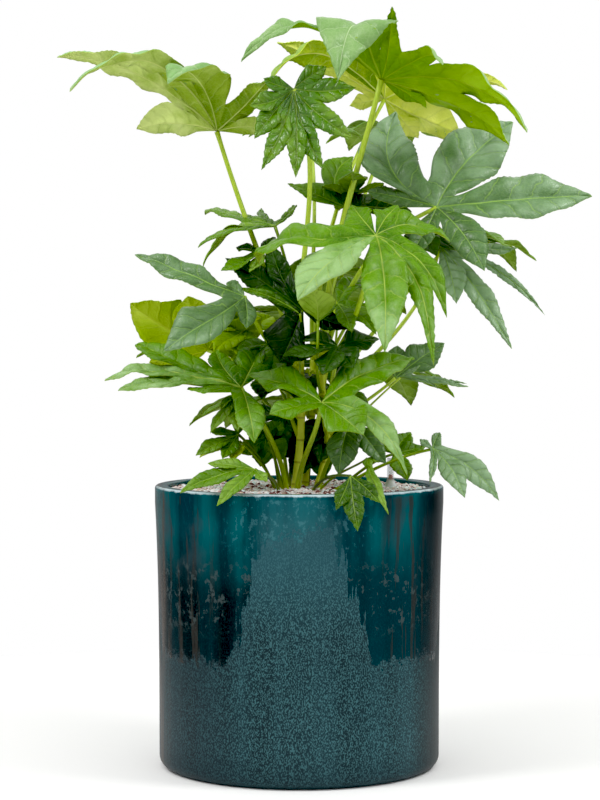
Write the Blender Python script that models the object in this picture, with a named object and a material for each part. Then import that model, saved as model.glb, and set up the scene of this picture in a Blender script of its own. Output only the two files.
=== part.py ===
"""Potted fatsia: three canes and long leaf stalks with lobed leaves, in a straight glazed ceramic pot.

Metres, +Z up. The pot stands on its flat underside at Z = 0, its axis is the world Z axis,
and the front of the plant faces -Y.
"""
import math
from collections import namedtuple

import bmesh
import bpy
from mathutils import Matrix, Vector

# Pot and what fills it
POT_HEIGHT = 0.340
POT_BODY_RADIUS = 0.1695
POT_RIM_RADIUS = 0.1745
POT_WALL = 0.0150
POT_FLOOR = 0.0150
POT_FOOT_ROUNDING = 0.006
POT_SIDES = 56
RIM_ROUNDING = 0.006
FILL_BELOW_RIM = 0.010
FILL_TOP = POT_HEIGHT - FILL_BELOW_RIM
FILL_DOME = 0.002

# Water gauge
GAUGE_X, GAUGE_Y = 0.108, 0.032
GAUGE_TUBE_RADIUS = 0.0038
GAUGE_FOOT_RADIUS = 0.0104
GAUGE_FOOT_HEIGHT = 0.009
GAUGE_HEIGHT = 0.040
GAUGE_SIDES = 20

# Gap that touching pieces keep, and the leaf's thickness as a share of its longest lobe
GAP = 0.0003
LEAF_THICKNESS_SHARE = 0.015
LEAF_THICKNESS_LEAST = 0.0020

# Lobe outline: share of the lobe's length, share of its half width. A lobe's half width is at most
# NEIGHBOUR_SHARE of the distance to the midrib beside it. The web between two lobes ends before WEB_LIMIT
# of the shorter one.
LOBE_STATIONS = ((0.55, 1.00), (0.80, 0.66))
SINUS_REACH = 0.27
WEB_LIMIT = 0.48
LOBE_TERMS = 3
OUTER_EDGE = (0.12, 0.35)
NEIGHBOUR_SHARE = 0.46
RIB_SAMPLES = 20

# Stalks and canes
STALK_SIDES = 6
STALK_STEPS = 6
STALK_TAPER = 0.72
STALK_HANDLE = 0.36
CANE_SIDES = 12
CANE_STEPS = 8

Stalk = namedtuple("Stalk", "start rise approach radius")
Leaf = namedtuple("Leaf", "name hub facing cup half_width lobes stalk fused")

# Canes: name, radius at the foot and at the top, and the places that each runs through
CANES = (
    ("cane_1", 0.0048, 0.0042, ((-0.006, 0.000), (0.001, -0.002), (0.003, -0.003), (-0.001, -0.003)), 0.512),
    ("cane_2", 0.0046, 0.0040, ((0.021, 0.014), (0.034, 0.018), (0.028, 0.020), (0.029, 0.020)), 0.508),
    ("cane_3", 0.0042, 0.0036, ((0.006, 0.034), (0.012, 0.038), (0.017, 0.041), (0.018, 0.042)), 0.490),
)


def from_cane(name, height, side):
    """A stalk's start on the side of a cane, at a height, towards an azimuth in degrees."""
    return ("cane", name, height, side)


def on_top(name):
    """A stalk's start on a cane's top."""
    return ("top", name)


def from_fill(x, y):
    """A stalk's start on the pot's fill."""
    return ("fill", x, y)


def leaf(name, hub, facing, half_width, lobes, stalk, cup=0, fused=False):
    """A leaf: its hub, the heading, pitch and roll of its plane in degrees, and its lobes.

    Each lobe is its angle from the heading, its length, how far its tip hangs as a share of that length, and
    how far the web towards the next lobe reaches as a share of their mean length.
    """
    lobes = tuple(lobe + (SINUS_REACH,) if len(lobe) == LOBE_TERMS else lobe for lobe in lobes)
    return Leaf(name, Vector(hub), facing, cup, half_width, lobes, stalk, fused)


def fan(count, spread, longest, shortest, hang):
    """Lobes of an even fan, longest in the middle."""
    lobes = []
    for index in range(count):
        side = 2.0 * index / (count - 1) - 1.0
        length = longest + (shortest - longest) * abs(side) ** 1.6
        lobes.append((side * spread, length, hang))
    return tuple(lobes)


LEAVES = (
    leaf("high_left", (-0.100, 0.030, 0.769), (180, 20, 38), 0.036,
         ((-24, 0.108, 0.02, 0.20), (17, 0.226, 0.12, 0.38), (39, 0.270, 0.48, 0.24),
          (62, 0.190, 0.45, 0.42), (84, 0.120, 0.10, 0.37), (108, 0.114, 0.10, 0.30), (153, 0.050, 0.15)),
         Stalk(from_cane("cane_1", 0.502, 180), 68, (200, 72), 0.0036)),
    leaf("crown_right", (0.098, -0.030, 0.825), (-90, 42, -20), 0.040,
         ((-64, 0.212, 0.52, 0.30), (-20, 0.220, 0.85, 0.30), (2, 0.108, 0.05, 0.45),
          (30, 0.126, 0.45, 0.42), (64, 0.185, 0.45, 0.42), (92, 0.152, 0.30, 0.30), (116, 0.060, 0.10)),
         Stalk(on_top("cane_2"), 86, (0, 76), 0.0042), cup=8),
    leaf("crown_front", (-0.006, -0.090, 0.808), (-90, -70, 0), 0.019,
         ((-146, 0.045, 0.0, 0.30), (-78, 0.058, 0.0, 0.34), (-44, 0.088, 0.0, 0.34),
          (-20, 0.110, 0.0, 0.36), (2, 0.116, 0.0, 0.36), (24, 0.108, 0.0, 0.32), (52, 0.094, 0.0, 0.24),
          (90, 0.076, 0.0, 0.34), (122, 0.058, 0.0)),
         Stalk(on_top("cane_1"), 86, (-125, 52), 0.0034)),
    leaf("crown_back", (0.109, 0.170, 0.822), (-90, 50, 0), 0.036,
         ((-112, 0.060, 0.0, 0.40), (-82, 0.088, 0.08, 0.35), (-44, 0.215, 0.45, 0.35),
          (0, 0.090, 0.10, 0.45), (64, 0.168, 0.25, 0.50), (108, 0.112, 0.08, 0.40), (143, 0.076, 0.0)),
         Stalk(on_top("cane_3"), 86, (0, 62), 0.0030)),
    leaf("broad_right", (0.163, -0.050, 0.672), (0, 5, 53), 0.034,
         ((-120, 0.076, 0.0, 0.30), (-63, 0.100, 0.08, 0.27), (2, 0.186, 0.04, 0.18),
          (48, 0.164, 0.0, 0.22), (101, 0.156, 0.0, 0.33), (156, 0.088, 0.0)),
         Stalk(from_cane("cane_2", 0.494, 20), 74, (-20, 20), 0.0034)),
    leaf("front", (0.088, -0.140, 0.635), (-90, -35, 0), 0.038,
         ((-124, 0.168, 0.50, 0.42), (-47, 0.122, 0.22, 0.15), (0, 0.158, 0.28, 0.38),
          (28, 0.160, 0.38, 0.40), (56, 0.114, 0.42, 0.38), (113, 0.100, 0.30, 0.30), (150, 0.045, 0.10)),
         Stalk(from_cane("cane_2", 0.478, -50), 40, (-60, 66), 0.0034)),
    leaf("mid_left", (-0.055, -0.085, 0.562), (180, 5, -45), 0.034,
         ((-88, 0.044, 0.0, 0.30), (-56, 0.066, 0.0, 0.30), (-25, 0.166, 0.05, 0.22),
          (33, 0.122, 0.18, 0.36), (74, 0.088, 0.10)),
         Stalk(from_cane("cane_1", 0.484, 180), 30, (-115, 46), 0.0030)),
    leaf("heart", (0.003, -0.036, 0.551), (180, 0, -75), 0.029,
         ((-136, 0.062, 0.0, 0.34), (-72, 0.092, 0.0, 0.30), (-35, 0.114, 0.0, 0.40),
          (68, 0.076, 0.0, 0.40), (128, 0.068, 0.0)),
         Stalk(from_cane("cane_1", 0.486, -80), 52, (-90, 45), 0.0028)),
    leaf("lime_left", (-0.113, 0.060, 0.502), (-90, 50, 0), 0.034,
         ((-105, 0.076, 0.0, 0.34), (-50, 0.120, 0.0, 0.40), (-14, 0.090, 0.0, 0.42),
          (22, 0.080, 0.0, 0.42), (52, 0.084, 0.0, 0.36), (88, 0.064, 0.0)),
         Stalk(from_cane("cane_1", 0.440, 140), 30, (170, 20), 0.0028)),
    leaf("low_left", (-0.068, -0.080, 0.459), (180, 5, -35), 0.031,
         ((-104, 0.094, 0.0, 0.30), (-58, 0.140, 0.08, 0.30), (-29, 0.194, 0.28, 0.30),
          (-2, 0.150, 0.14, 0.25), (30, 0.078, 0.02, 0.36), (66, 0.084, 0.10, 0.30), (102, 0.090, 0.10)),
         Stalk(from_fill(-0.0145, -0.013), 80, (190, 58), 0.0032)),
    leaf("low_front", (0.026, -0.120, 0.443), (-90, -35, 0), 0.033,
         ((-201, 0.102, 0.0, 0.35), (-127, 0.110, 0.08, 0.36), (-70, 0.062, 0.08, 0.30),
          (34, 0.080, 0.08, 0.34), (62, 0.135, 0.32, 0.30), (126, 0.158, 0.08)),
         Stalk(from_fill(-0.003, -0.018), 72, (-70, 66), 0.0036)),
    leaf("low_shade", (0.061, -0.085, 0.425), (-90, -60, 0), 0.024,
         ((-14, 0.072, 0.05, 0.36), (24, 0.064, 0.05, 0.36), (54, 0.074, 0.08)),
         Stalk(from_fill(0.022, -0.012), 66, (-50, 52), 0.0026)),
    leaf("rim_front", (0.058, -0.177, 0.362), (-90, -60, 0), 0.013,
         ((-28, 0.046, 0.05), (3, 0.070, 0.08), (28, 0.054, 0.08), (52, 0.058, 0.15)),
         Stalk(from_fill(0.012, -0.030), 34, (-75, 2), 0.0020)),
    leaf("low_right", (0.159, -0.050, 0.386), (0, -10, 40), 0.018,
         ((-132, 0.030, 0.0), (-90, 0.054, 0.15), (-52, 0.070, 0.18), (-20, 0.110, 0.34), (129, 0.026, 0.0)),
         Stalk(from_fill(0.030, -0.024), 30, (-12, 12), 0.0022)),
    leaf("mid_right", (0.118, 0.040, 0.468), (0, 10, 50), 0.030,
         ((-12, 0.092, 0.05, 0.30), (32, 0.088, 0.0, 0.46), (80, 0.066, 0.0)),
         Stalk(from_cane("cane_2", 0.400, 10), 50, (0, 42), 0.0024)),
    leaf("hanging_right", (0.170, 0.000, 0.628), (0, -10, 50), 0.022,
         ((-92, 0.076, 0.08, 0.34), (-66, 0.084, 0.08, 0.26), (-42, 0.142, 0.18, 0.22),
          (-14, 0.145, 0.18, 0.24), (16, 0.100, 0.0)),
         Stalk(from_cane("cane_2", 0.436, 0), 46, (10, 78), 0.0028)),
    leaf("small_left", (-0.029, -0.006, 0.652), (180, 0, -15), 0.013,
         ((-155, 0.040, 0.0), (-112, 0.070, 0.0), (-12, 0.098, 0.16), (30, 0.096, 0.32),
          (80, 0.060, 0.20)),
         Stalk(from_cane("cane_1", 0.482, 105), 84, (200, 70), 0.0024), fused=True),
    leaf("inner_top", (0.056, 0.030, 0.677), (180, 20, -40), 0.018,
         ((-138, 0.070, 0.0), (-84, 0.112, 0.0), (-12, 0.088, 0.08), (34, 0.040, 0.0)),
         Stalk(from_cane("cane_3", 0.470, 20), 74, (20, 74), 0.0024), fused=True),
    leaf("inner_right", (0.114, 0.002, 0.377), (0, 0, 30), 0.014,
         ((-74, 0.054, 0.10), (20, 0.042, 0.0), (64, 0.054, 0.0), (120, 0.030, 0.0)),
         Stalk(from_fill(0.037, 0.002), 34, (0, 16), 0.0020), fused=True),
    leaf("rim_left", (-0.050, -0.154, 0.368), (180, -5, -40), 0.014,
         ((-22, 0.058, 0.08), (8, 0.088, 0.12), (40, 0.060, 0.18), (120, 0.026, 0.0)),
         Stalk(from_fill(-0.022, -0.028), 40, (-110, 16), 0.0020), fused=True),
    leaf("lower_left", (-0.072, -0.050, 0.403), (180, 0, -40), 0.013,
         ((-98, 0.034, 0.0), (-6, 0.034, 0.0), (27, 0.056, 0.15), (64, 0.042, 0.08)),
         Stalk(from_fill(-0.026, -0.008), 62, (200, 40), 0.0020), fused=True),
    leaf("inner_left", (-0.041, 0.012, 0.395), (180, -10, -50), 0.016,
         ((-138, 0.032, 0.0), (31, 0.036, 0.0), (74, 0.042, 0.0), (116, 0.040, 0.0)),
         Stalk(from_fill(-0.020, 0.014), 66, (190, 50), 0.0020), fused=True),
    leaf("young", (0.022, -0.082, 0.538), (-90, 60, 0), 0.020,
         ((-34, 0.040, 0.0, 0.46), (0, 0.042, 0.0, 0.46), (34, 0.036, 0.0)),
         Stalk(from_cane("cane_2", 0.452, -100), 8, (-90, 86), 0.0020), fused=True),
    leaf("back_top", (0.118, 0.262, 0.795), (75, 0, 0), 0.025, fan(7, 132, 0.115, 0.062, 0.22),
         Stalk(from_cane("cane_3", 0.462, 60), 78, (60, 58), 0.0030)),
    leaf("back_left", (0.012, 0.150, 0.785), (110, 12, 0), 0.022, fan(7, 132, 0.105, 0.055, 0.22),
         Stalk(from_cane("cane_3", 0.474, 110), 80, (110, 66), 0.0028)),
    leaf("back_centre", (0.055, 0.180, 0.602), (88, -20, 0), 0.029, fan(7, 132, 0.132, 0.070, 0.20),
         Stalk(from_cane("cane_3", 0.440, 90), 66, (90, 50), 0.0030)),
    leaf("back_right", (0.198, 0.110, 0.648), (40, -12, 0), 0.024, fan(7, 132, 0.110, 0.055, 0.20),
         Stalk(from_cane("cane_3", 0.425, 10), 56, (20, 48), 0.0028)),
    leaf("back_mid", (-0.082, 0.135, 0.548), (138, -18, 0), 0.029, fan(7, 132, 0.140, 0.070, 0.22),
         Stalk(from_cane("cane_3", 0.420, 150), 50, (130, 46), 0.0028)),
    leaf("back_low_right", (0.090, 0.150, 0.485), (62, -14, 0), 0.027, fan(7, 132, 0.128, 0.065, 0.22),
         Stalk(from_cane("cane_3", 0.392, 60), 44, (55, 40), 0.0026)),
    leaf("back_low_left", (-0.045, 0.110, 0.440), (118, -8, 0), 0.024, fan(7, 132, 0.110, 0.058, 0.24),
         Stalk(from_fill(-0.012, 0.042), 66, (140, 40), 0.0026)),
)


# Materials

def plain_material(name, colour, roughness, metallic=0.0):
    """A Principled material with one colour."""
    material = bpy.data.materials.new(name)
    material.use_nodes = True
    shader = material.node_tree.nodes["Principled BSDF"]
    shader.inputs["Base Color"].default_value = (*colour, 1.0)
    shader.inputs["Roughness"].default_value = roughness
    shader.inputs["Metallic"].default_value = metallic
    material.diffuse_color = (*colour, 1.0)
    return material


# Mesh helpers

def add_object(name, mesh, material):
    """Link a mesh to the scene as one named object with its own material."""
    surface = bmesh.new()
    surface.from_mesh(mesh)
    bmesh.ops.recalc_face_normals(surface, faces=surface.faces)
    surface.to_mesh(mesh)
    surface.free()
    mesh.materials.append(material)
    made = bpy.data.objects.new(name, mesh)
    bpy.context.collection.objects.link(made)
    return made


def ring_mesh(name, rings, start=None, end=None):
    """A closed skin over rings of equal count, closed by a face or by a point at each end."""
    points = [point for ring in rings for point in ring]
    sides = len(rings[0])
    faces = []
    for row in range(len(rings) - 1):
        for side in range(sides):
            after = (side + 1) % sides
            here = row * sides
            above = here + sides
            faces.append((here + side, here + after, above + after, above + side))
    last = (len(rings) - 1) * sides
    for first, tip in ((0, start), (last, end)):
        if tip is None:
            faces.append(tuple(range(first, first + sides)))
        else:
            points.append(tip)
            centre = len(points) - 1
            faces += [(first + side, first + (side + 1) % sides, centre) for side in range(sides)]
    mesh = bpy.data.meshes.new(name)
    mesh.from_pydata([tuple(point) for point in points], [], faces)
    return mesh


def turned_mesh(name, profile, sides, centre=(0.0, 0.0)):
    """A solid of revolution from a profile of radius and height that runs from axis to axis."""
    rings = []
    for radius, height in profile[1:-1]:
        ring = []
        for side in range(sides):
            turn = 2.0 * math.pi * side / sides
            ring.append((centre[0] + radius * math.cos(turn), centre[1] + radius * math.sin(turn), height))
        rings.append(ring)
    foot = (centre[0], centre[1], profile[0][1])
    head = (centre[0], centre[1], profile[-1][1])
    return ring_mesh(name, rings, foot, head)


def rounded(centre_radius, centre_height, rounding, first_turn, last_turn, steps):
    """Profile points along an arc, with turns in degrees."""
    points = []
    for step in range(steps + 1):
        turn = math.radians(first_turn + (last_turn - first_turn) * step / steps)
        points.append((centre_radius + rounding * math.cos(turn), centre_height + rounding * math.sin(turn)))
    return points


def tube_mesh(name, path, radii, sides, corner, level_foot=False):
    """A tapering limb along a path, closed by a flat face at each end.

    Its first corner points the way that corner gives, and its foot can be cut level.
    """
    rings = []
    across = corner
    for index, place in enumerate(path):
        before = path[max(index - 1, 0)]
        after = path[min(index + 1, len(path) - 1)]
        along = (after - before).normalized()
        across = (across - along * across.dot(along)).normalized()
        upward = along.cross(across)
        ring = []
        for side in range(sides):
            turn = 2.0 * math.pi * side / sides
            ring.append(place + radii[index] * (math.cos(turn) * across + math.sin(turn) * upward))
        if level_foot and index == 0:
            ring = [point + along * ((place.z - point.z) / along.z) for point in ring]
        rings.append(ring)
    return ring_mesh(name, rings)


# Pot, fill and gauge

def build_pot():
    """Open turned pot with a rolled rim, a slight flare below it and a rounded foot."""
    inner = POT_RIM_RADIUS - POT_WALL - 0.0015
    profile = [(0.0, 0.0)]
    profile += rounded(POT_BODY_RADIUS - POT_FOOT_ROUNDING, POT_FOOT_ROUNDING, POT_FOOT_ROUNDING, -90, 0, 2)
    profile += [
        (POT_BODY_RADIUS + 0.0003, 0.36 * POT_HEIGHT),
        (POT_BODY_RADIUS + 0.0010, 0.62 * POT_HEIGHT),
        (POT_BODY_RADIUS + 0.0025, 0.80 * POT_HEIGHT),
        (POT_RIM_RADIUS, 0.94 * POT_HEIGHT),
    ]
    profile += rounded(POT_RIM_RADIUS - RIM_ROUNDING, POT_HEIGHT - RIM_ROUNDING, RIM_ROUNDING, 0, 90, 3)
    profile += rounded(inner + RIM_ROUNDING * 0.5, POT_HEIGHT - RIM_ROUNDING * 0.5, RIM_ROUNDING * 0.5, 90, 180, 2)
    profile += [(inner, POT_FLOOR), (0.0, POT_FLOOR)]
    glaze = plain_material("pot_glaze", (0.02, 0.12, 0.14), 0.18)
    add_object("pot", turned_mesh("pot", profile, POT_SIDES), glaze)
    return inner


def build_fill(inner):
    """Granule fill as one plug with a low dome."""
    radius = inner - GAP
    edge = FILL_TOP - FILL_DOME
    profile = [(0.0, POT_FLOOR + GAP), (radius, POT_FLOOR + GAP), (radius, edge)]
    profile += [(0.75 * radius, FILL_TOP), (0.0, FILL_TOP)]
    stone = plain_material("granules", (0.62, 0.55, 0.50), 0.85)
    add_object("granule_fill", turned_mesh("granule_fill", profile, POT_SIDES), stone)


def build_gauge():
    """Clear water gauge: a flared foot on the fill and a thin tube."""
    foot = FILL_TOP + GAP
    shoulder = foot + GAUGE_FOOT_HEIGHT
    head = foot + GAUGE_HEIGHT
    profile = [
        (0.0, foot),
        (GAUGE_FOOT_RADIUS, foot),
        (GAUGE_FOOT_RADIUS, foot + 0.2 * GAUGE_FOOT_HEIGHT),
        (GAUGE_TUBE_RADIUS * 1.35, shoulder - 0.2 * GAUGE_FOOT_HEIGHT),
        (GAUGE_TUBE_RADIUS, shoulder),
        (GAUGE_TUBE_RADIUS, head),
        (0.0, head),
    ]
    clear = plain_material("clear_plastic", (0.80, 0.84, 0.86), 0.12)
    mesh = turned_mesh("water_gauge", profile, GAUGE_SIDES, (GAUGE_X, GAUGE_Y))
    add_object("water_gauge", mesh, clear)


# Canes and stalks

def smooth_through(points, share):
    """A place on the Catmull-Rom curve through the points, at a share of its run."""
    spans = len(points) - 1
    reach = min(share * spans, spans - 1e-9)
    index = int(reach)
    local = reach - index
    before = points[max(index - 1, 0)]
    here = points[index]
    after = points[index + 1]
    beyond = points[min(index + 2, spans)]
    return 0.5 * (
        2.0 * here
        + (after - before) * local
        + (2.0 * before - 5.0 * here + 4.0 * after - beyond) * local ** 2
        + (3.0 * here - before - 3.0 * after + beyond) * local ** 3
    )


def cane_path(name):
    """A cane's centre line from the fill to its top, with its radii."""
    _, foot_radius, top_radius, places, top = next(cane for cane in CANES if cane[0] == name)
    foot = FILL_TOP + GAP
    rise = (top - foot) / (len(places) - 1)
    points = [Vector((x, y, foot + rise * index)) for index, (x, y) in enumerate(places)]
    shares = [step / CANE_STEPS for step in range(CANE_STEPS + 1)]
    path = [smooth_through(points, share) for share in shares]
    radii = [foot_radius + (top_radius - foot_radius) * share for share in shares]
    return path, radii


def at_height(path, radii, height):
    """The centre and radius of a cane at a height."""
    for low, high, low_radius, high_radius in zip(path, path[1:], radii, radii[1:]):
        if low.z <= height <= high.z:
            share = (height - low.z) / (high.z - low.z)
            return low.lerp(high, share), low_radius + (high_radius - low_radius) * share
    return path[-1].copy(), radii[-1]


def direction(azimuth, elevation):
    """A unit vector from an azimuth and an elevation in degrees."""
    turn, lift = math.radians(azimuth), math.radians(elevation)
    return Vector((math.cos(lift) * math.cos(turn), math.cos(lift) * math.sin(turn), math.sin(lift)))


def stalk_path(leaf_row, reach_into):
    """A stalk's centre line and radii, from its start to under the leaf's hub."""
    start, rise, approach, radius = leaf_row.stalk
    _, _, normal = leaf_axes(leaf_row)
    arrive = direction(*approach)
    tip_radius = radius * STALK_TAPER
    if reach_into:
        end = leaf_row.hub.copy()
    else:
        lean = math.sqrt(max(0.0, 1.0 - arrive.dot(normal) ** 2))
        clear = 0.5 * leaf_thickness(leaf_row) + GAP + tip_radius * lean
        end = leaf_row.hub - normal * clear
    towards = math.degrees(math.atan2(end.y, end.x))
    if start[0] == "cane":
        path, radii = cane_path(start[1])
        centre, cane_radius = at_height(path, radii, start[2])
        towards = start[3]
        out = cane_radius + GAP + radius * math.sin(math.radians(rise))
        begin = centre + direction(towards, 0.0) * out
    elif start[0] == "top":
        path, _ = cane_path(start[1])
        begin = path[-1] + Vector((0.0, 0.0, GAP + radius * math.cos(math.radians(rise))))
        towards = math.degrees(math.atan2(end.y - begin.y, end.x - begin.x))
    else:
        towards = math.degrees(math.atan2(end.y - start[2], end.x - start[1]))
        begin = Vector((start[1], start[2], FILL_TOP + GAP))
    handle = (end - begin).length * STALK_HANDLE
    first = begin + direction(towards, rise) * handle
    second = end - arrive * handle
    path, radii = [], []
    for step in range(STALK_STEPS + 1):
        share = step / STALK_STEPS
        rest = 1.0 - share
        path.append(begin * rest ** 3 + first * 3.0 * rest ** 2 * share + second * 3.0 * rest * share ** 2
                    + end * share ** 3)
        radii.append(radius + (tip_radius - radius) * share)
    return path, radii


# Leaves

def leaf_axes(leaf_row):
    """The leaf's heading, its left side and its upper side as unit vectors."""
    heading, pitch, roll = leaf_row.facing
    ahead = direction(heading, pitch)
    level = Vector((0.0, 0.0, 1.0)).cross(ahead).normalized()
    turn = Matrix.Rotation(math.radians(roll), 3, ahead)
    left = turn @ level
    return ahead, left, ahead.cross(left)


def leaf_thickness(leaf_row):
    """The blade's thickness."""
    longest = max(lobe[1] for lobe in leaf_row.lobes)
    return max(LEAF_THICKNESS_LEAST, LEAF_THICKNESS_SHARE * longest)


def lobe_frame(leaf_row, lobe, share):
    """A place on a lobe's midrib, with the direction across the lobe and the one out of its upper side."""
    angle, length, hang, _ = lobe
    ahead, left, normal = leaf_axes(leaf_row)
    turn, lift = math.radians(angle), math.radians(leaf_row.cup)
    flat = math.cos(turn) * ahead + math.sin(turn) * left
    out = math.cos(lift) * flat + math.sin(lift) * normal
    place = leaf_row.hub + out * length * share - Vector((0.0, 0.0, hang * length * share ** 3))
    along = (out - Vector((0.0, 0.0, 3.0 * hang * share ** 2))).normalized()
    across = math.cos(turn) * left - math.sin(turn) * ahead
    across = (across - along * across.dot(along)).normalized()
    return place, across, along.cross(across)


def lobe_width(leaf_row, index, side, share, fullness):
    """The width of one side of a lobe at a share of its length, clear of the lobe beside it."""
    lobes = leaf_row.lobes
    longest = max(lobe[1] for lobe in lobes)
    half = leaf_row.half_width * math.sqrt(lobes[index][1] / longest) * fullness
    place = lobe_frame(leaf_row, lobes[index], share)[0]
    beside = lobes[(index + side) % len(lobes)]
    shares = [step / RIB_SAMPLES for step in range(2, RIB_SAMPLES + 1)]
    nearest = min((lobe_frame(leaf_row, beside, other)[0] - place).length for other in shares)
    return min(half, NEIGHBOUR_SHARE * nearest)


def web_reach(lobes, index):
    """How far from the hub the web between a lobe and the next one reaches."""
    first, second = lobes[index][1], lobes[index + 1][1]
    return min(lobes[index][3] * 0.5 * (first + second), WEB_LIMIT * min(first, second))


def blade_sheet(leaf_row):
    """The blade's mid surface: points, directions out of the upper side, and triangles."""
    points, normals, faces = [], [], []

    def add(place, normal):
        points.append(place)
        normals.append(normal.normalized())
        return len(points) - 1

    lobes = leaf_row.lobes
    hub = add(leaf_row.hub, leaf_axes(leaf_row)[2])
    sinuses = []
    for index in range(len(lobes) + 1):
        if index in (0, len(lobes)):
            end, side = (0, -1) if index == 0 else (len(lobes) - 1, 1)
            place, across, normal = lobe_frame(leaf_row, lobes[end], OUTER_EDGE[0])
            width = lobe_width(leaf_row, end, side, *OUTER_EDGE)
            sinuses.append(add(place + across * side * width, normal))
        else:
            reach = web_reach(lobes, index - 1)
            pair = [lobe_frame(leaf_row, lobe, reach / lobe[1]) for lobe in (lobes[index - 1], lobes[index])]
            sinuses.append(add((pair[0][0] + pair[1][0]) * 0.5, pair[0][2] + pair[1][2]))
    for index, lobe in enumerate(lobes):
        right_sinus, left_sinus = sinuses[index], sinuses[index + 1]
        place, _, normal = lobe_frame(leaf_row, lobe, SINUS_REACH)
        rib = add(place, normal)
        faces += [(hub, right_sinus, rib), (hub, rib, left_sinus)]
        edge = (right_sinus, rib, left_sinus)
        for share, fullness in LOBE_STATIONS:
            place, across, normal = lobe_frame(leaf_row, lobe, share)
            station = (
                add(place - across * lobe_width(leaf_row, index, -1, share, fullness), normal),
                add(place, normal),
                add(place + across * lobe_width(leaf_row, index, 1, share, fullness), normal),
            )
            for side in (0, 1):
                faces.append((edge[side], station[side], station[side + 1]))
                faces.append((edge[side], station[side + 1], edge[side + 1]))
            edge = station
        place, _, normal = lobe_frame(leaf_row, lobe, 1.0)
        tip = add(place, normal)
        faces += [(edge[0], tip, edge[1]), (edge[1], tip, edge[2])]
    return points, normals, faces


def thick_mesh(name, points, normals, faces, thickness):
    """A closed solid: the sheet's two sides and the band round its border."""
    count = len(points)
    lower = [point - normal * 0.5 * thickness for point, normal in zip(points, normals)]
    upper = [point + normal * 0.5 * thickness for point, normal in zip(points, normals)]
    skin = [tuple(face) for face in faces]
    skin += [tuple(corner + count for corner in reversed(face)) for face in faces]
    edges = {(face[side], face[(side + 1) % 3]) for face in faces for side in range(3)}
    for start, end in sorted(edges):
        if (end, start) not in edges:
            skin.append((end, start, start + count, end + count))
    mesh = bpy.data.meshes.new(name)
    mesh.from_pydata([tuple(point) for point in upper + lower], [], skin)
    return mesh


def fuse(blade, stalk):
    """Join a stalk to its blade as one solid."""
    joint = blade.modifiers.new("fuse", "BOOLEAN")
    joint.operation = "UNION"
    joint.solver = "EXACT"
    joint.object = stalk
    evaluated = blade.evaluated_get(bpy.context.evaluated_depsgraph_get())
    joined = bpy.data.meshes.new_from_object(evaluated)
    blade.modifiers.clear()
    blade.data = joined
    bpy.data.objects.remove(stalk)


def build_plant():
    """All canes, stalks and leaves."""
    for name, *_ in CANES:
        path, radii = cane_path(name)
        bark = plain_material(name + "_bark", (0.30, 0.34, 0.05), 0.6)
        add_object(name, tube_mesh(name, path, radii, CANE_SIDES, direction(0.0, 0.0), True), bark)
    for row in LEAVES:
        green = plain_material("green_" + row.name, (0.12, 0.28, 0.03), 0.35)
        mesh = thick_mesh("leaf_" + row.name, *blade_sheet(row), leaf_thickness(row))
        blade = add_object("leaf_" + row.name, mesh, green)
        path, radii = stalk_path(row, row.fused)
        skin = plain_material("stalk_green_" + row.name, (0.28, 0.38, 0.05), 0.45)
        inward = path[0] - path[1]
        inward.z = 0.0
        level_foot = row.stalk.start[0] == "fill"
        mesh = tube_mesh("stalk_" + row.name, path, radii, STALK_SIDES, inward, level_foot)
        stalk = add_object("stalk_" + row.name, mesh, skin)
        if row.fused:
            fuse(blade, stalk)


def main():
    """Clear the scene and build the potted plant."""
    for thing in list(bpy.data.objects):
        bpy.data.objects.remove(thing)
    inner = build_pot()
    build_fill(inner)
    build_gauge()
    build_plant()


main()
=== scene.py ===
import math
import random
from collections import namedtuple
from functools import reduce

import bpy
import numpy as np
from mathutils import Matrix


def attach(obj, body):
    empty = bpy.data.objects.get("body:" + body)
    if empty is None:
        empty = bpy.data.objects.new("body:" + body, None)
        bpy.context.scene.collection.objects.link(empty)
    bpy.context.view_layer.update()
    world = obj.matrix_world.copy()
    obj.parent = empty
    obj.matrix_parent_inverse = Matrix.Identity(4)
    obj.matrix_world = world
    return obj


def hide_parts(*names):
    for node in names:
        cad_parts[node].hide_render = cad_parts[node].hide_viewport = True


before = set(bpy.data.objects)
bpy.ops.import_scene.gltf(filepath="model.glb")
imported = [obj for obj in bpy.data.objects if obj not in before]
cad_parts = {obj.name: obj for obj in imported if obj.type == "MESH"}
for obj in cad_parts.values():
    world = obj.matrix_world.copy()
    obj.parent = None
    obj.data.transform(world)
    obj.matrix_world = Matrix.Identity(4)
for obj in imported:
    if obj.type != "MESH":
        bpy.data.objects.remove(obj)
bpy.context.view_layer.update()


# Camera, floor and light
# A photographer's white table: a round pale floor under the pot, white all round behind it,
# soft light from above, from below and from behind the camera, dim screens at both sides, and a
# large soft lamp high up on either side.

def wire(tree, node, wires):
    """Put a value or another node's output in each socket that is named."""
    for socket, value in wires.items():
        if isinstance(value, bpy.types.NodeSocket):
            tree.links.new(value, node.inputs[socket])
        else:
            node.inputs[socket].default_value = value


def put(tree, kind, wires=None, **settings):
    """A node of a kind, with its settings and what goes in its sockets."""
    made = tree.nodes.new(kind)
    for name, value in settings.items():
        setattr(made, name, value)
    wire(tree, made, wires or {})
    return made


def calc(tree, operation, *values):
    """The output of a Math node."""
    return put(tree, "ShaderNodeMath", dict(enumerate(values)), operation=operation).outputs[0]


def total(tree, *values):
    """The sum of the values."""
    return reduce(lambda first, second: calc(tree, "ADD", first, second), values)


def product(tree, *values):
    """The values multiplied together."""
    return reduce(lambda first, second: calc(tree, "MULTIPLY", first, second), values)


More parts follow.
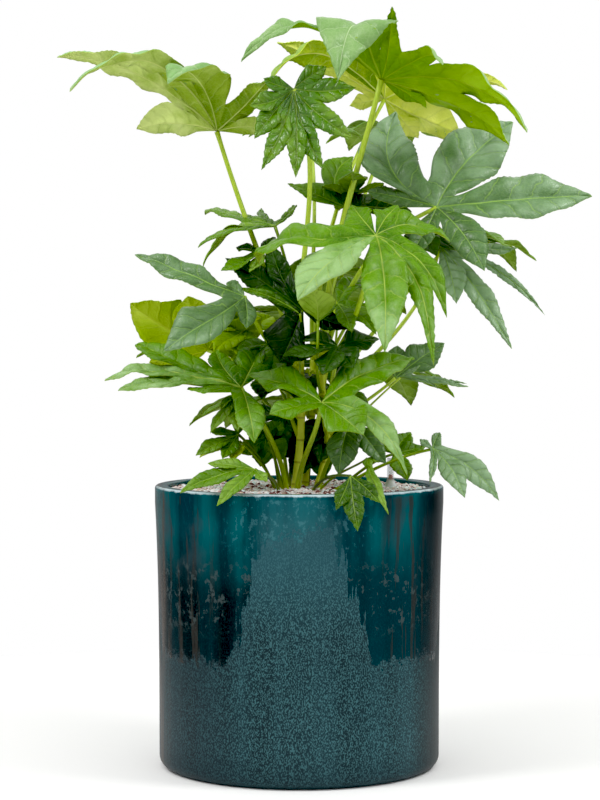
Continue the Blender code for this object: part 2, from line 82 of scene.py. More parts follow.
def step_up(tree, value, low, high, reach=1.0):
    """A value that rises smoothly from 0 at low to reach at high."""
    wires = {"Value": value, "From Min": low, "From Max": high, "To Min": 0.0, "To Max": reach}
    return put(tree, "ShaderNodeMapRange", wires, interpolation_type="SMOOTHSTEP").outputs[0]


CAMERA_PLACE = (0.001, -2.75, 0.532)
CAMERA_DIP = 1.87
CAMERA_LENS = 102.3
BLACK_LEVEL = 0.016
LIGHT_ABOVE = 0.95
LIGHT_BELOW = 0.90
LIGHT_BEHIND_CAMERA = 0.36
LIGHT_BACKDROP = 0.20
LIGHT_SCREENS = 0.03
LAMPS = (
    ("lamp_left", (-1.30, -0.75, 1.75), 52.0, -60.0, 17.0),
    ("lamp_right", (1.35, -0.55, 1.80), 52.0, 68.0, 15.0),
)

scene = bpy.context.scene
scene.view_settings.view_transform = "Standard"
scene.view_settings.use_curve_mapping = True
scene.view_settings.curve_mapping.black_level = (BLACK_LEVEL,) * 3
scene.view_settings.curve_mapping.update()

camera_data = bpy.data.cameras.new("camera")
camera_data.lens = CAMERA_LENS
camera_data.sensor_width = 36.0
camera = bpy.data.objects.new("camera", camera_data)
camera.location = CAMERA_PLACE
camera.rotation_euler = (math.radians(90.0 - CAMERA_DIP), 0.0, 0.0)
scene.collection.objects.link(camera)
scene.camera = camera

world = bpy.data.worlds.new("studio")
world.use_nodes = True
scene.world = world
tree = world.node_tree
way = put(tree, "ShaderNodeTexCoord").outputs["Generated"]
ways = put(tree, "ShaderNodeSeparateXYZ", {0: way}).outputs
above = step_up(tree, ways["Z"], 0.10, 0.50, LIGHT_ABOVE)
below = step_up(tree, product(tree, ways["Z"], -1.0), 0.10, 0.25, LIGHT_BELOW)
front = step_up(tree, product(tree, ways["Y"], -1.0), 0.76, 0.84, LIGHT_BEHIND_CAMERA)
back = step_up(tree, ways["Y"], 0.55, 0.95, LIGHT_BACKDROP)
level = total(tree, total(tree, above, front), total(tree, back, below), LIGHT_SCREENS)
seen = put(tree, "ShaderNodeLightPath").outputs["Is Camera Ray"]
strength = calc(tree, "MAXIMUM", product(tree, level, calc(tree, "SUBTRACT", 1.0, seen)), seen)
wire(tree, tree.nodes["Background"], {"Color": (1.0, 1.0, 1.0, 1.0), "Strength": strength})

for name, spot, tilt, heading, power in LAMPS:
    lamp = bpy.data.lights.new(name, "AREA")
    lamp.shape = "DISK"
    lamp.size = 0.7
    lamp.energy = power
    holder = bpy.data.objects.new(name, lamp)
    holder.location = spot
    holder.rotation_euler = (math.radians(tilt), 0.0, math.radians(heading))
    scene.collection.objects.link(holder)

bpy.ops.object.select_all(action="DESELECT")
bpy.ops.mesh.primitive_circle_add(vertices=128, radius=1.0, fill_type="NGON", location=(0.0, 0.0, 0.0))
floor = bpy.context.object
floor.name = "floor"
white = bpy.data.materials.new("floor_white")
white.use_nodes = True
shader = white.node_tree.nodes["Principled BSDF"]
wire(white.node_tree, shader, {"Base Color": (0.93, 0.93, 0.92, 1.0), "Roughness": 0.9})
floor.data.materials.append(white)


# Pot
# A straight thrown pot with a thick rolled rim that opens slightly below it, and a rounded foot.
# Its upper part has a deep teal running glaze, which ends in a ragged line over a satin speckled one.

def linear(red, green, blue):
    """A screen colour of 0 to 255 as the light it stands for."""
    return tuple(((part / 255.0 + 0.055) / 1.055) ** 2.4 if part > 10 else part / 3294.6
                 for part in (red, green, blue)) + (1.0,)


def tint(tree, share, first, second):
    """A colour between two others."""
    wires = {0: share, 6: first, 7: second}
    return put(tree, "ShaderNodeMix", wires, data_type="RGBA").outputs[2]


def skin(name):
    """A new material, its node tree, its shader and each point's place on the piece."""
    material = bpy.data.materials.new(name)
    material.use_nodes = True
    tree = material.node_tree
    return material, tree, tree.nodes["Principled BSDF"], put(tree, "ShaderNodeTexCoord").outputs["Object"]


def coat(tree, shader, colour, roughness, relief, strength, depth, **sockets):
    """Give a shader its colour, its roughness, its fine relief and any other sockets."""
    bump = put(tree, "ShaderNodeBump", {"Strength": strength, "Distance": depth, "Height": relief}).outputs[0]
    wire(tree, shader, {"Base Color": colour, "Roughness": roughness, "Normal": bump, **sockets})


def grain(tree, place, scale, detail=3.0, rough=0.55):
    """A noise pattern at a place."""
    wires = {"Vector": place, "Scale": scale, "Detail": detail, "Roughness": rough}
    return put(tree, "ShaderNodeTexNoise", wires).outputs[0]


def drawn(tree, place, pull, scale, detail=3.0, rough=0.55):
    """A noise pattern that is drawn out up and down."""
    place = put(tree, "ShaderNodeMapping", {"Vector": place, "Scale": (1.0, 1.0, pull)}).outputs[0]
    return grain(tree, place, scale, detail, rough)


def about_zero(tree, pattern, reach):
    """A pattern that runs to either side of 0 instead of 0.5, with its reach."""
    return product(tree, calc(tree, "SUBTRACT", pattern, 0.5), reach)


def left_over(tree, share):
    """What a share leaves of the whole."""
    return calc(tree, "SUBTRACT", 1.0, share)


SHARP_EDGE = 50.0


def turned(name, material, sides, profile, centre=(0.0, 0.0)):
    """A closed round piece: a disc raised ring by ring to each radius and height of its profile."""
    bpy.ops.object.select_all(action="DESELECT")
    radius, height = profile[0]
    bpy.ops.mesh.primitive_circle_add(
        vertices=sides, radius=radius, fill_type="NGON", location=(*centre, height))
    made = bpy.context.object
    made.name = name
    bpy.ops.object.mode_set(mode="EDIT")
    bpy.ops.mesh.select_all(action="SELECT")
    for next_radius, next_height in profile[1:]:
        bpy.ops.mesh.extrude_region_move(TRANSFORM_OT_translate={"value": (0.0, 0.0, next_height - height)})
        share = next_radius / radius
        bpy.ops.transform.resize(value=(share, share, 1.0), center_override=(*centre, next_height))
        radius, height = next_radius, next_height
    bpy.ops.mesh.select_all(action="SELECT")
    bpy.ops.mesh.normals_make_consistent(inside=False)
    bpy.ops.object.mode_set(mode="OBJECT")
    bpy.ops.object.transform_apply(location=True, rotation=True, scale=True)
    bpy.ops.object.shade_smooth_by_angle(angle=math.radians(SHARP_EDGE))
    made.data.materials.append(material)
    return made


def finish_piece(piece, slot, *nodes):
    """Give a piece its body, and hide the frame's nodes that it stands for, if any. The slot is not used."""
    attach(piece, "root")
    if nodes:
        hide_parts(*nodes)


def arc(centre_radius, centre_height, rounding, first, last, steps):
    """Radius and height along a rounded edge, with its turns in degrees."""
    turns = [math.radians(first + (last - first) * step / steps) for step in range(steps + 1)]
    return [(centre_radius + rounding * math.cos(turn), centre_height + rounding * math.sin(turn))
            for turn in turns]


POT_HEIGHT = 0.340
POT_BODY_RADIUS = 0.1695
POT_RIM_RADIUS = 0.1745
POT_INSIDE_RADIUS = 0.158
POT_FLOOR = 0.015
POT_SIDES = 192
FOOT_RADIUS = 0.120
FOOT_ROUNDING = 0.014
WALL_START = 0.006
WALL_TOP = 0.3196
WALL_RINGS = 24
FLARE = 0.005
FLARE_POWER = 3.4
RIM_ROUNDING = 0.0035
LIP_ROUNDING = 0.003
LIP_DEPTH = 0.040
GLAZE_LINE = 0.143
GLAZE_EDGE = 0.004
ARCH_RISE = 0.152
SIDE_RISE = 0.075
ARCHES = 3.0

glaze, tree, shader, place = skin("running_glaze")
axes = put(tree, "ShaderNodeSeparateXYZ", {0: place}).outputs
height = axes["Z"]
turn = calc(tree, "ARCTAN2", axes["X"], product(tree, axes["Y"], -1.0))
squares = [calc(tree, "POWER", axes[name], 2.0) for name in "XY"]
radius = calc(tree, "SQRT", total(tree, *squares))
broad_streaks = drawn(tree, place, 0.05, 26.0)
streaks = drawn(tree, place, 0.07, 95.0, 4.0, 0.6)
fine_streaks = drawn(tree, place, 0.16, 420.0, 3.0, 0.6)
clouds = drawn(tree, place, 0.6, 22.0, 4.0, 0.6)
rags = drawn(tree, place, 0.8, 120.0, 5.0, 0.75)
maze = drawn(tree, place, 0.5, 860.0, 1.5, 0.5)
cells = grain(tree, place, 75.0, 3.0, 0.6)

# The dark glaze runs lowest between the arches and ends higher at the sides, and its edge is ragged
swing = calc(tree, "COSINE", product(tree, turn, ARCHES))
arch = step_up(tree, total(tree, swing, about_zero(tree, streaks, 0.9)), -0.05, 0.85, ARCH_RISE)
arch = calc(tree, "MAXIMUM", arch, step_up(tree, calc(tree, "ABSOLUTE", turn), 1.22, 1.56, SIDE_RISE))
edge = total(tree, about_zero(tree, rags, 0.075), about_zero(tree, clouds, 0.050))
line = calc(tree, "SUBTRACT", total(tree, height, edge), arch)
glossy = step_up(tree, line, GLAZE_LINE - GLAZE_EDGE, GLAZE_LINE + GLAZE_EDGE)

# Teal where the glaze is thick near the rim, and blue-black where it has run down, less so at the right
thick = step_up(tree, total(tree, height, about_zero(tree, clouds, 0.10)), 0.215, 0.300)
teal = tint(tree, step_up(tree, broad_streaks, 0.40, 0.60), linear(0, 54, 64), linear(14, 92, 98))
teal = tint(tree, step_up(tree, fine_streaks, 0.55, 0.75, 0.30), teal, linear(48, 112, 116))
run_down = tint(tree, step_up(tree, broad_streaks, 0.40, 0.60), linear(4, 18, 22), linear(3, 38, 45))
run_down = tint(tree, step_up(tree, axes["X"], -0.04, 0.08, 0.50), run_down, linear(2, 64, 74))
below_rim = step_up(tree, height, 0.338, 0.332)
haze = product(tree, step_up(tree, swing, -0.10, -0.75), step_up(tree, clouds, 0.38, 0.62), below_rim)
teal = tint(tree, product(tree, haze, 0.75), teal, linear(54, 70, 76))
teal = tint(tree, thick, run_down, teal)

# Brown streaks where it is thin, grey lace below, and a paler column of flecks over the front arch
thin = product(tree, step_up(tree, streaks, 0.52, 0.60), step_up(tree, swing, 0.15, -0.75), below_rim)
teal = tint(tree, product(tree, thin, 0.75), teal, linear(58, 54, 50))
lace_band = product(tree, step_up(tree, height, 0.270, 0.240), step_up(tree, height, 0.165, 0.195))
lace = product(tree, step_up(tree, rags, 0.50, 0.57), step_up(tree, cells, 0.46, 0.56, 0.65))
teal = tint(tree, product(tree, lace, lace_band), teal, linear(80, 90, 90))
column = product(tree, step_up(tree, swing, 0.50, 0.95, 0.45), below_rim)
teal = tint(tree, column, teal, linear(50, 104, 112))
bright = product(tree, step_up(tree, rags, 0.54, 0.60), step_up(tree, height, 0.25, 0.30, 0.45))
bright = product(tree, bright, step_up(tree, swing, -0.30, 0.40))
teal = tint(tree, product(tree, bright, 0.8), teal, linear(84, 140, 148))

# A pale broken line along the rim's outer edge: a painted highlight where the rolled rim catches the light
outside = step_up(tree, radius, POT_RIM_RADIUS - 0.0042, POT_RIM_RADIUS - 0.0022)
painted_rim_highlight = total(tree, height, about_zero(tree, rags, 0.006))
painted_rim_highlight = product(tree, step_up(tree, painted_rim_highlight, POT_HEIGHT - 0.0030, POT_HEIGHT - 0.0008, 0.85), outside)
teal = tint(tree, painted_rim_highlight, teal, linear(196, 216, 222))

# The satin glaze: fine pale specks on blue-grey, smoother and paler towards the arch's top
specks = step_up(tree, maze, 0.51, 0.57)
satin = tint(tree, step_up(tree, broad_streaks, 0.35, 0.65), linear(24, 42, 48), linear(32, 57, 64))
satin = tint(tree, step_up(tree, height, 0.16, 0.29, 0.60), satin, linear(50, 100, 110))
specks = product(tree, specks, left_over(tree, step_up(tree, height, 0.20, 0.29, 0.60)))
satin = tint(tree, product(tree, specks, 0.56), satin, linear(80, 130, 136))
satin = tint(tree, step_up(tree, streaks, 0.60, 0.80, 0.25), satin, linear(18, 36, 48))
scratch = product(tree, step_up(tree, rags, 0.68, 0.71), step_up(tree, clouds, 0.60, 0.66, 0.8))
satin = tint(tree, scratch, satin, linear(8, 22, 28))
# Painted shade: the satin glaze darker towards the lower left
satin = tint(tree, step_up(tree, axes["X"], -0.04, -0.12, 0.50), satin, linear(28, 34, 40))
foot_dark = left_over(tree, step_up(tree, height, 0.0, 0.05))
satin = tint(tree, product(tree, foot_dark, 0.45), satin, linear(20, 38, 44))

# Both glazes together. Painted shade makes the right side nearly black; the browner left edge is partly
# brown glaze and partly a painted reflection; down inside the rim the teal glaze is painted paler as a
# painted reflection
teal = tint(tree, product(tree, specks, 0.04), teal, linear(70, 140, 146))
colour = tint(tree, glossy, satin, teal)
# Painted shade: nearly black towards the right side, below the rim
painted_shade_right = product(tree, step_up(tree, axes["X"], 0.125, 0.165, 0.80), below_rim)
colour = tint(tree, painted_shade_right, colour, linear(14, 20, 22))
# Partly brown glaze and partly a painted reflection: a paler brown-grey streaked band at the left edge
brown_and_painted_reflection_left = product(tree, step_up(tree, axes["X"], -0.150, -0.168, 0.70), step_up(tree, streaks, 0.38, 0.62))
colour = tint(tree, brown_and_painted_reflection_left, colour, linear(96, 84, 76))
# Teal inside the rim, painted paler than the glaze outside as a painted reflection
inside = step_up(tree, radius, POT_INSIDE_RADIUS + 0.010, POT_INSIDE_RADIUS + 0.005, 0.70)
inside = product(tree, inside, step_up(tree, height, 0.10, 0.20))
colour = tint(tree, inside, colour, linear(26, 112, 122))
dull = put(tree, "ShaderNodeMapRange", {"Value": glossy, "To Min": 0.46, "To Max": 0.06}).outputs[0]
ripple = total(tree, product(tree, streaks, 0.6), product(tree, fine_streaks, 0.10))
ripple = total(tree, ripple, product(tree, maze, 0.05))
coat(tree, shader, colour, dull, ripple, 0.5, 0.0012, **{"Specular IOR Level": 0.25})

heights = [WALL_START + (WALL_TOP - WALL_START) * step / WALL_RINGS for step in range(1, WALL_RINGS + 1)]
profile = [(FOOT_RADIUS, 0.0)]
profile += arc(POT_BODY_RADIUS - FOOT_ROUNDING, FOOT_ROUNDING, FOOT_ROUNDING, -90, 0, 8)
profile += [(POT_BODY_RADIUS + FLARE * (height / WALL_TOP) ** FLARE_POWER, height) for height in heights]
profile += arc(POT_RIM_RADIUS - RIM_ROUNDING, POT_HEIGHT - RIM_ROUNDING, RIM_ROUNDING, 0, 90, 8)
profile += arc(POT_INSIDE_RADIUS + LIP_ROUNDING, POT_HEIGHT - LIP_ROUNDING, LIP_ROUNDING, 90, 180, 6)
profile += [(POT_INSIDE_RADIUS, POT_HEIGHT - LIP_DEPTH), (POT_INSIDE_RADIUS, POT_FLOOR)]
finish_piece(turned("glazed_pot", glaze, POT_SIDES, profile), "glazed_pot", "pot")


# Granules
# The top dressing: thousands of crushed stone granules of four kinds, loose on a fill of the same
# stone that is painted darker as the shade in the gaps between them, a little below the pot's rim and a
# little uneven.

FILL_TOP = 0.330
GRANULE_PITCH = 0.0058
ROW_SPACING = 0.87
GRANULE_STRAY = 0.0018
GRANULE_SIZES = (0.0022, 0.0038)
GRANULE_WIDTHS = (0.8, 1.25)
GRANULE_HEIGHTS = (0.6, 0.95)
GRANULE_KNOCKS = (0.82, 1.15)
GRANULE_LIFTS = (-0.0009, 0.0011)
HEAP_LAYERS = (0.0006, 0.0040)
GRANULE_KINDS = (
    ("granules_cream", (218, 198, 196), (255, 250, 252), 0.42),
    ("granules_white", (214, 230, 234), (250, 254, 255), 0.26),
    ("granules_brown", (84, 42, 42), (140, 84, 78), 0.20),
    ("granules_tan", (196, 158, 146), (236, 208, 196), 0.12),
)

# Painted shade: the fill under the granules is a darker brown, for the shade in the gaps between them
shaded_bed, tree, shader, place = skin("granule_bed_painted_shade")
lumps = grain(tree, place, 260.0, 4.0, 0.7)
coat(tree, shader, tint(tree, lumps, linear(62, 48, 42), linear(150, 132, 118)), 0.95, lumps, 0.9, 0.002)
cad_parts["granule_fill"].data.materials.clear()
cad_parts["granule_fill"].data.materials.append(shaded_bed)


def stone_skin(name, dark, light):
    """Rough mineral with pits and paler faces."""
    material, tree, shader, place = skin(name)
    pits = grain(tree, place, 700.0, 3.0, 0.7)
    patches = grain(tree, place, 90.0, 2.0)
    share = step_up(tree, total(tree, product(tree, pits, 0.5), patches), 0.55, 0.95)
    coat(tree, shader, tint(tree, share, linear(*dark), linear(*light)), 0.85, pits, 0.6, 0.0005)
    return material


def gather(name, shapes, materials, uv_name=None):
    """One object of many shapes, each with its points, faces, slots, smooth faces, corner pairs and tones."""
    points, faces, slots, smooth, corners, tones_and_painted_light = [], [], [], [], [], []
    for shape in shapes:
        start = len(points)
        points.extend(shape["points"])
        faces.extend([tuple(corner + start for corner in face) for face in shape["faces"]])
        slots.extend(shape.get("slots", [0] * len(shape["faces"])))
        smooth.extend(shape.get("smooth", [True] * len(shape["faces"])))
        tones_and_painted_light.extend(shape.get("tones_and_painted_light", [shape.get("tone", 0.5)] * len(shape["faces"])))
        corners.extend(shape.get("corners", ()))
    mesh = bpy.data.meshes.new(name)
    mesh.from_pydata(points, [], faces)
    mesh.polygons.foreach_set("material_index", slots)
    mesh.polygons.foreach_set("use_smooth", smooth)
    mesh.attributes.new("tone", "FLOAT", "FACE").data.foreach_set("value", tones_and_painted_light)
    if uv_name:
        layer = mesh.uv_layers.new(name=uv_name)
        layer.data.foreach_set("uv", np.array(corners, dtype=np.float32).ravel())
    for material in materials:
        mesh.materials.append(material)
    made = bpy.data.objects.new(name, mesh)
    scene.collection.objects.link(made)
    return made


bpy.ops.object.select_all(action="DESELECT")
bpy.ops.mesh.primitive_ico_sphere_add(subdivisions=1, radius=1.0)
pebble = bpy.context.object
pebble_points = np.array([corner.co for corner in pebble.data.vertices])
pebble_faces = [tuple(face.vertices) for face in pebble.data.polygons]
bpy.data.objects.remove(pebble)

chance = random.Random(11)
heaps = {kind[0]: [] for kind in GRANULE_KINDS}
rows = int(POT_INSIDE_RADIUS / GRANULE_PITCH) + 1
spots = [(layer, line, step) for layer in HEAP_LAYERS for line in range(-rows, rows + 1)
         for step in range(-rows, rows + 1)]
for layer, line, step in spots:
    x = (step + 0.5 * (line % 2)) * GRANULE_PITCH + chance.uniform(-GRANULE_STRAY, GRANULE_STRAY)
    y = line * GRANULE_PITCH * ROW_SPACING + chance.uniform(-GRANULE_STRAY, GRANULE_STRAY)
    size = chance.uniform(*GRANULE_SIZES)
    if math.hypot(x, y) > POT_INSIDE_RADIUS - size:
        continue
    measures = (GRANULE_WIDTHS, GRANULE_WIDTHS, GRANULE_HEIGHTS)
    shape = size * np.array([chance.uniform(*measure) for measure in measures])
    knocks = np.array([[chance.uniform(*GRANULE_KNOCKS)] for _ in pebble_points])
    turn = chance.uniform(0.0, 2.0 * math.pi)
    cosine, sine = math.cos(turn), math.sin(turn)
    spin = np.array([[cosine, -sine, 0.0], [sine, cosine, 0.0], [0.0, 0.0, 1.0]])
    z = FILL_TOP + layer + chance.uniform(*GRANULE_LIFTS)
    corners = (pebble_points * knocks * shape) @ spin.T + np.array([x, y, z])
    pick = chance.random()
    for kind in GRANULE_KINDS:
        pick -= kind[3]
        if pick <= 0.0:
            break
    flat = [False] * len(pebble_faces)
    heaps[kind[0]].append({"points": corners.tolist(), "faces": pebble_faces, "smooth": flat})
for name, dark, light, _ in GRANULE_KINDS:
    finish_piece(gather(name, heaps[name], [stone_skin(name, dark, light)]), "granules")


# Water gauge
# A clear moulded tube on a flared foot that stands in the granules, with a red float in it that
# shows the water's level.

GAUGE_CENTRE = (0.112, 0.032)
GAUGE_FOOT = FILL_TOP + 0.0038
GAUGE_HEAD = GAUGE_FOOT + 0.0365
GAUGE_WALL = 0.0006
GAUGE_FOOT_RADIUS = 0.0098
GAUGE_TUBE_RADIUS = 0.0044
GAUGE_LIP_RADIUS = 0.0038
GAUGE_LIP_DEPTH = 0.0008
GAUGE_BORE_RADIUS = 0.0026
GAUGE_BORE_END = ((GAUGE_BORE_RADIUS, 0.0100), (0.0010, 0.0092))
GAUGE_CLOUDY = (0.0120, 0.0080)
GAUGE_FLARE = ((0.0086, 0.0020), (0.0070, 0.0044), (0.0053, 0.0072), (0.0045, 0.0090), (0.0044, 0.0120))
FLOAT_RADIUS = 0.0015
FLOAT_ROUNDING = 0.0010
FLOAT_ENDS = (0.0104, 0.0150)

clear, tree, shader, place = skin("clear_moulding")
draw_lines = drawn(tree, place, 0.1, 600.0)
coat(tree, shader, (0.93, 0.95, 0.96, 1.0), 0.08, draw_lines, 0.2, 0.0002, IOR=1.49)
through = put(tree, "ShaderNodeBsdfTransparent", {"Color": (0.95, 0.96, 0.97, 1.0)})
height = put(tree, "ShaderNodeSeparateXYZ", {0: place}).outputs["Z"]
clear_from, cloudy_to = (GAUGE_FOOT + rise for rise in GAUGE_CLOUDY)
cloudy = total(tree, 0.24, step_up(tree, height, clear_from, cloudy_to, 0.55))
mix = put(tree, "ShaderNodeMixShader", {0: cloudy, 1: through.outputs[0], 2: shader.outputs[0]})
wire(tree, tree.nodes["Material Output"], {"Surface": mix.outputs[0]})

profile = arc(GAUGE_FOOT_RADIUS, GAUGE_FOOT + GAUGE_WALL, GAUGE_WALL, -90, 90, 6)
profile += [(radius, GAUGE_FOOT + rise) for radius, rise in GAUGE_FLARE]
profile += [(GAUGE_TUBE_RADIUS, GAUGE_HEAD - GAUGE_LIP_DEPTH)]
profile += arc(GAUGE_LIP_RADIUS, GAUGE_HEAD - GAUGE_WALL, GAUGE_WALL, 0, 90, 3)
profile += [(GAUGE_BORE_RADIUS, GAUGE_HEAD)]
profile += [(radius, GAUGE_FOOT + rise) for radius, rise in GAUGE_BORE_END]
finish_piece(turned("gauge_tube", clear, 40, profile, GAUGE_CENTRE), "clear_plastic", "water_gauge")

red, tree, shader, place = skin("float_red")
speckle = tint(tree, grain(tree, place, 900.0), linear(226, 30, 6), linear(255, 84, 16))
wire(tree, shader, {"Base Color": speckle, "Roughness": 0.35})
bottom, top = FLOAT_ENDS
profile = arc(FLOAT_RADIUS, GAUGE_FOOT + bottom, FLOAT_ROUNDING, -90, 0, 4)
profile += arc(FLOAT_RADIUS, GAUGE_FOOT + top, FLOAT_ROUNDING, 0, 90, 4)
finish_piece(turned("gauge_float", red, 24, profile, GAUGE_CENTRE), "clear_plastic", "water_gauge")


# Canes
# Three upright green canes that rise through the granules and carry the leaves near their tops.
# Young bark, with a ring-shaped scar where each old leaf stood.

CANES = (
    ("cane_1", 0.0048, 0.0042, ((-0.006, 0.0), (0.001, -0.002), (0.003, -0.003), (-0.001, -0.003)), 0.512),
    ("cane_2", 0.0046, 0.0040, ((0.021, 0.014), (0.034, 0.018), (0.028, 0.020), (0.029, 0.020)), 0.508),
    ("cane_3", 0.0042, 0.0036, ((0.006, 0.034), (0.012, 0.038), (0.017, 0.041), (0.018, 0.042)), 0.490),
)
CANE_STEPS = 64
CANE_SIDES = 18
SCAR_PITCH = 0.027
SCAR_SWELL = 0.0005
CANE_DEPTH = 0.003
CANE_TIP = 0.86


def unit(vectors):
    """Vectors of length 1."""
    return vectors / np.linalg.norm(vectors, axis=-1, keepdims=True)


def smooth_through(points, share):
    """A place on the Catmull-Rom curve through the points, at a share of its run."""
    spans = len(points) - 1
    reach = min(share * spans, spans - 1e-9)
    index = int(reach)
    local = reach - index
    before, here = points[max(index - 1, 0)], points[index]
    after, beyond = points[index + 1], points[min(index + 2, spans)]
    return 0.5 * (2.0 * here + (after - before) * local
                  + (2.0 * before - 5.0 * here + 4.0 * after - beyond) * local ** 2
                  + (3.0 * here - before - 3.0 * after + beyond) * local ** 3)


def cane_path(name, steps):
    """A cane's centre line from the fill to its top, with its radii."""
    _, foot_radius, top_radius, places, top = next(cane for cane in CANES if cane[0] == name)
    rise = (top - FILL_TOP) / (len(places) - 1)
    points = [np.array((x, y, FILL_TOP + rise * index)) for index, (x, y) in enumerate(places)]
    shares = np.linspace(0.0, 1.0, steps + 1)
    path = np.array([smooth_through(points, share) for share in shares])
    return path, foot_radius + (top_radius - foot_radius) * shares


def limb(path, radii, sides, tone=0.5):
    """A closed tapering tube along a path, with its turn and its run at each corner."""
    points, faces, corners = [], [], []
    across = np.array([1.0, 0.0, 0.0]) if abs(path[-1][0] - path[0][0]) < 0.05 else np.array([0.0, 1.0, 0.0])
    run = 0.0
    runs = []
    for index, place in enumerate(path):
        along = unit(path[min(index + 1, len(path) - 1)] - path[max(index - 1, 0)])
        across = unit(across - along * across.dot(along))
        upward = np.cross(along, across)
        run += float(np.linalg.norm(place - path[max(index - 1, 0)]))
        runs.append(run)
        for side in range(sides):
            turn = 2.0 * math.pi * side / sides
            out = math.cos(turn) * across + math.sin(turn) * upward
            points.append((place + radii[index] * out).tolist())
    for row in range(len(path) - 1):
        for side in range(sides):
            after = (side + 1) % sides
            here, above_row = row * sides, (row + 1) * sides
            faces.append((here + side, here + after, above_row + after, above_row + side))
            low, high = side / sides, (side + 1) / sides
            corners += [(low, runs[row]), (high, runs[row]), (high, runs[row + 1]), (low, runs[row + 1])]
    first = tuple(reversed(range(sides)))
    last = tuple(range((len(path) - 1) * sides, len(path) * sides))
    for cap, height in ((first, 0.0), (last, runs[-1])):
        faces.append(cap)
        corners += [(0.5, height)] * sides
    return {"points": points, "faces": faces, "corners": corners, "tone": tone}


def unrolled(tree, name):
    """A piece's own two measures at a point, from its UV map."""
    pair = put(tree, "ShaderNodeUVMap", uv_map=name).outputs[0]
    return put(tree, "ShaderNodeSeparateXYZ", {0: pair}).outputs


bark, tree, shader, place = skin("young_bark")
ring = calc(tree, "FRACT", calc(tree, "DIVIDE", unrolled(tree, "run")["Y"], SCAR_PITCH))
from_scar = calc(tree, "ABSOLUTE", calc(tree, "SUBTRACT", ring, 0.5))
scar = left_over(tree, step_up(tree, from_scar, 0.02, 0.07))
mottle = drawn(tree, place, 0.3, 120.0, 4.0, 0.6)
# Painted light: the bark is painted paler in the leaves' shade, most of all low down, where it is also
# yellower
tall = step_up(tree, put(tree, "ShaderNodeSeparateXYZ", {0: place}).outputs["Z"], 0.40, 0.58)
green = tint(tree, tall, linear(240, 250, 96), linear(172, 198, 30))
green = tint(tree, step_up(tree, mottle, 0.45, 0.70, 0.6), green, linear(196, 220, 50))
green = tint(tree, product(tree, scar, 0.45), green, linear(132, 122, 56))
coat(tree, shader, green, 0.48, total(tree, mottle, scar), 0.4, 0.0006)

shapes = []
for name, *_ in CANES:
    path, radii = cane_path(name, CANE_STEPS)
    runs = np.linspace(0.0, path[-1][2] - path[0][2], CANE_STEPS + 1)
    swell = np.exp(-(((runs / SCAR_PITCH) % 1.0 - 0.5) / 0.10) ** 2)
    path[0][2] -= CANE_DEPTH
    radii = radii + SCAR_SWELL * swell
    radii[-1] *= CANE_TIP
    shapes.append(limb(path, radii, CANE_SIDES))
finish_piece(gather("canes", shapes, [bark], "run"), "cane_bark", *(cane[0] for cane in CANES))


# Leaves and their stalks
# Large evergreen leaves, each cut into long pointed lobes like the fingers of a hand, on long round
# stalks that spring from the canes and, for the lowest ones, from the foot of the plant.
# A leaf is thin, folded up a little from each midrib, puffed between its side veins and finely toothed.

NOTCH_REACH = 27
LOBE_REST = (NOTCH_REACH, 100, 0, 0)
WEB_LIMIT = 0.62
RIB_SHARE = 0.46
OVERLAP = 1.00
LOBE_CURVE = 0.16
STALK_TAPER = 0.72
STALK_HANDLE = 0.36
STALK_STEPS = 22
STALK_SIDES = 12
STALK_FEET = {"cane": 1.7, "top": 1.12, "fill": 1.25}
STALK_FOOT_FADE = 0.010
STALK_HEAD = 0.25
STALK_HEAD_FADE = 0.006
CANE_GRIP = 0.55
CANE_TOP_DEPTH = 0.002
FILL_DEPTH = 0.003
COARSE_STEPS = 16

BLADE_THICKNESS = 0.0006
HUB_THICKNESS = 0.0008
MIDRIB_RADIUS = 0.0013
LONG_LOBE = 0.16
FOLD = 0.16
ARCH = 0.10
OVERLAP_RISE = 0.7
NOTCH_FADE = 0.22
EDGE_WAVE = 0.10
EDGE_WAVELENGTH = 0.052
TOOTH_PITCH = 0.0074
TOOTH_DEPTH = 0.0010
TOOTH_SHAPE = (0.0, 0.62, 1.0)
TOOTH_SIZES = (0.2, 1.5)
VEIN_PITCHES = (0.009, 0.028)
VEINS_ON_A_LOBE = 6.5
VEIN_SLANT = 0.72
VEIN_SHIFT = 0.45
PUFF = 0.085
# Painted shade and sheen: each lobe is darker near its hub and paler towards its tip
HUB_SHADE_TIP_SHEEN = 0.5
SWELLS = (0.085, 0.060, 0.043, 0.030)
SWELL_SHARE = 0.014
RIM_PAIR = (20.0, 0.5)
WEB_ROWS = 9
WEB = np.arange(WEB_ROWS + 1) / WEB_ROWS
COLUMNS = np.array([0.0, 0.08, 0.26, 0.45, 0.64, 0.83, 1.0])

Stalk = namedtuple("Stalk", "start rise approach radius")
Lobe = namedtuple("Lobe", "angle length hang web width bow twist")
Leaf = namedtuple("Leaf", "name hub facing cup half_width lobes stalk fused kind tone")


def from_cane(name, height, side):
    """A stalk's start on the side of a cane, at a height, towards an azimuth in degrees."""
    return ("cane", name, height / 1000, side)


def on_top(name):
    """A stalk's start on a cane's top."""
    return ("top", name)


def from_fill(x, y):
    """A stalk's start on the pot's fill."""
    return ("fill", x / 1000, y / 1000)


def held_by(start, rise, approach, radius):
    """A stalk: its start, how steeply it leaves, the way it arrives at its leaf, and its radius."""
    return Stalk(start, rise, approach, radius / 1000)


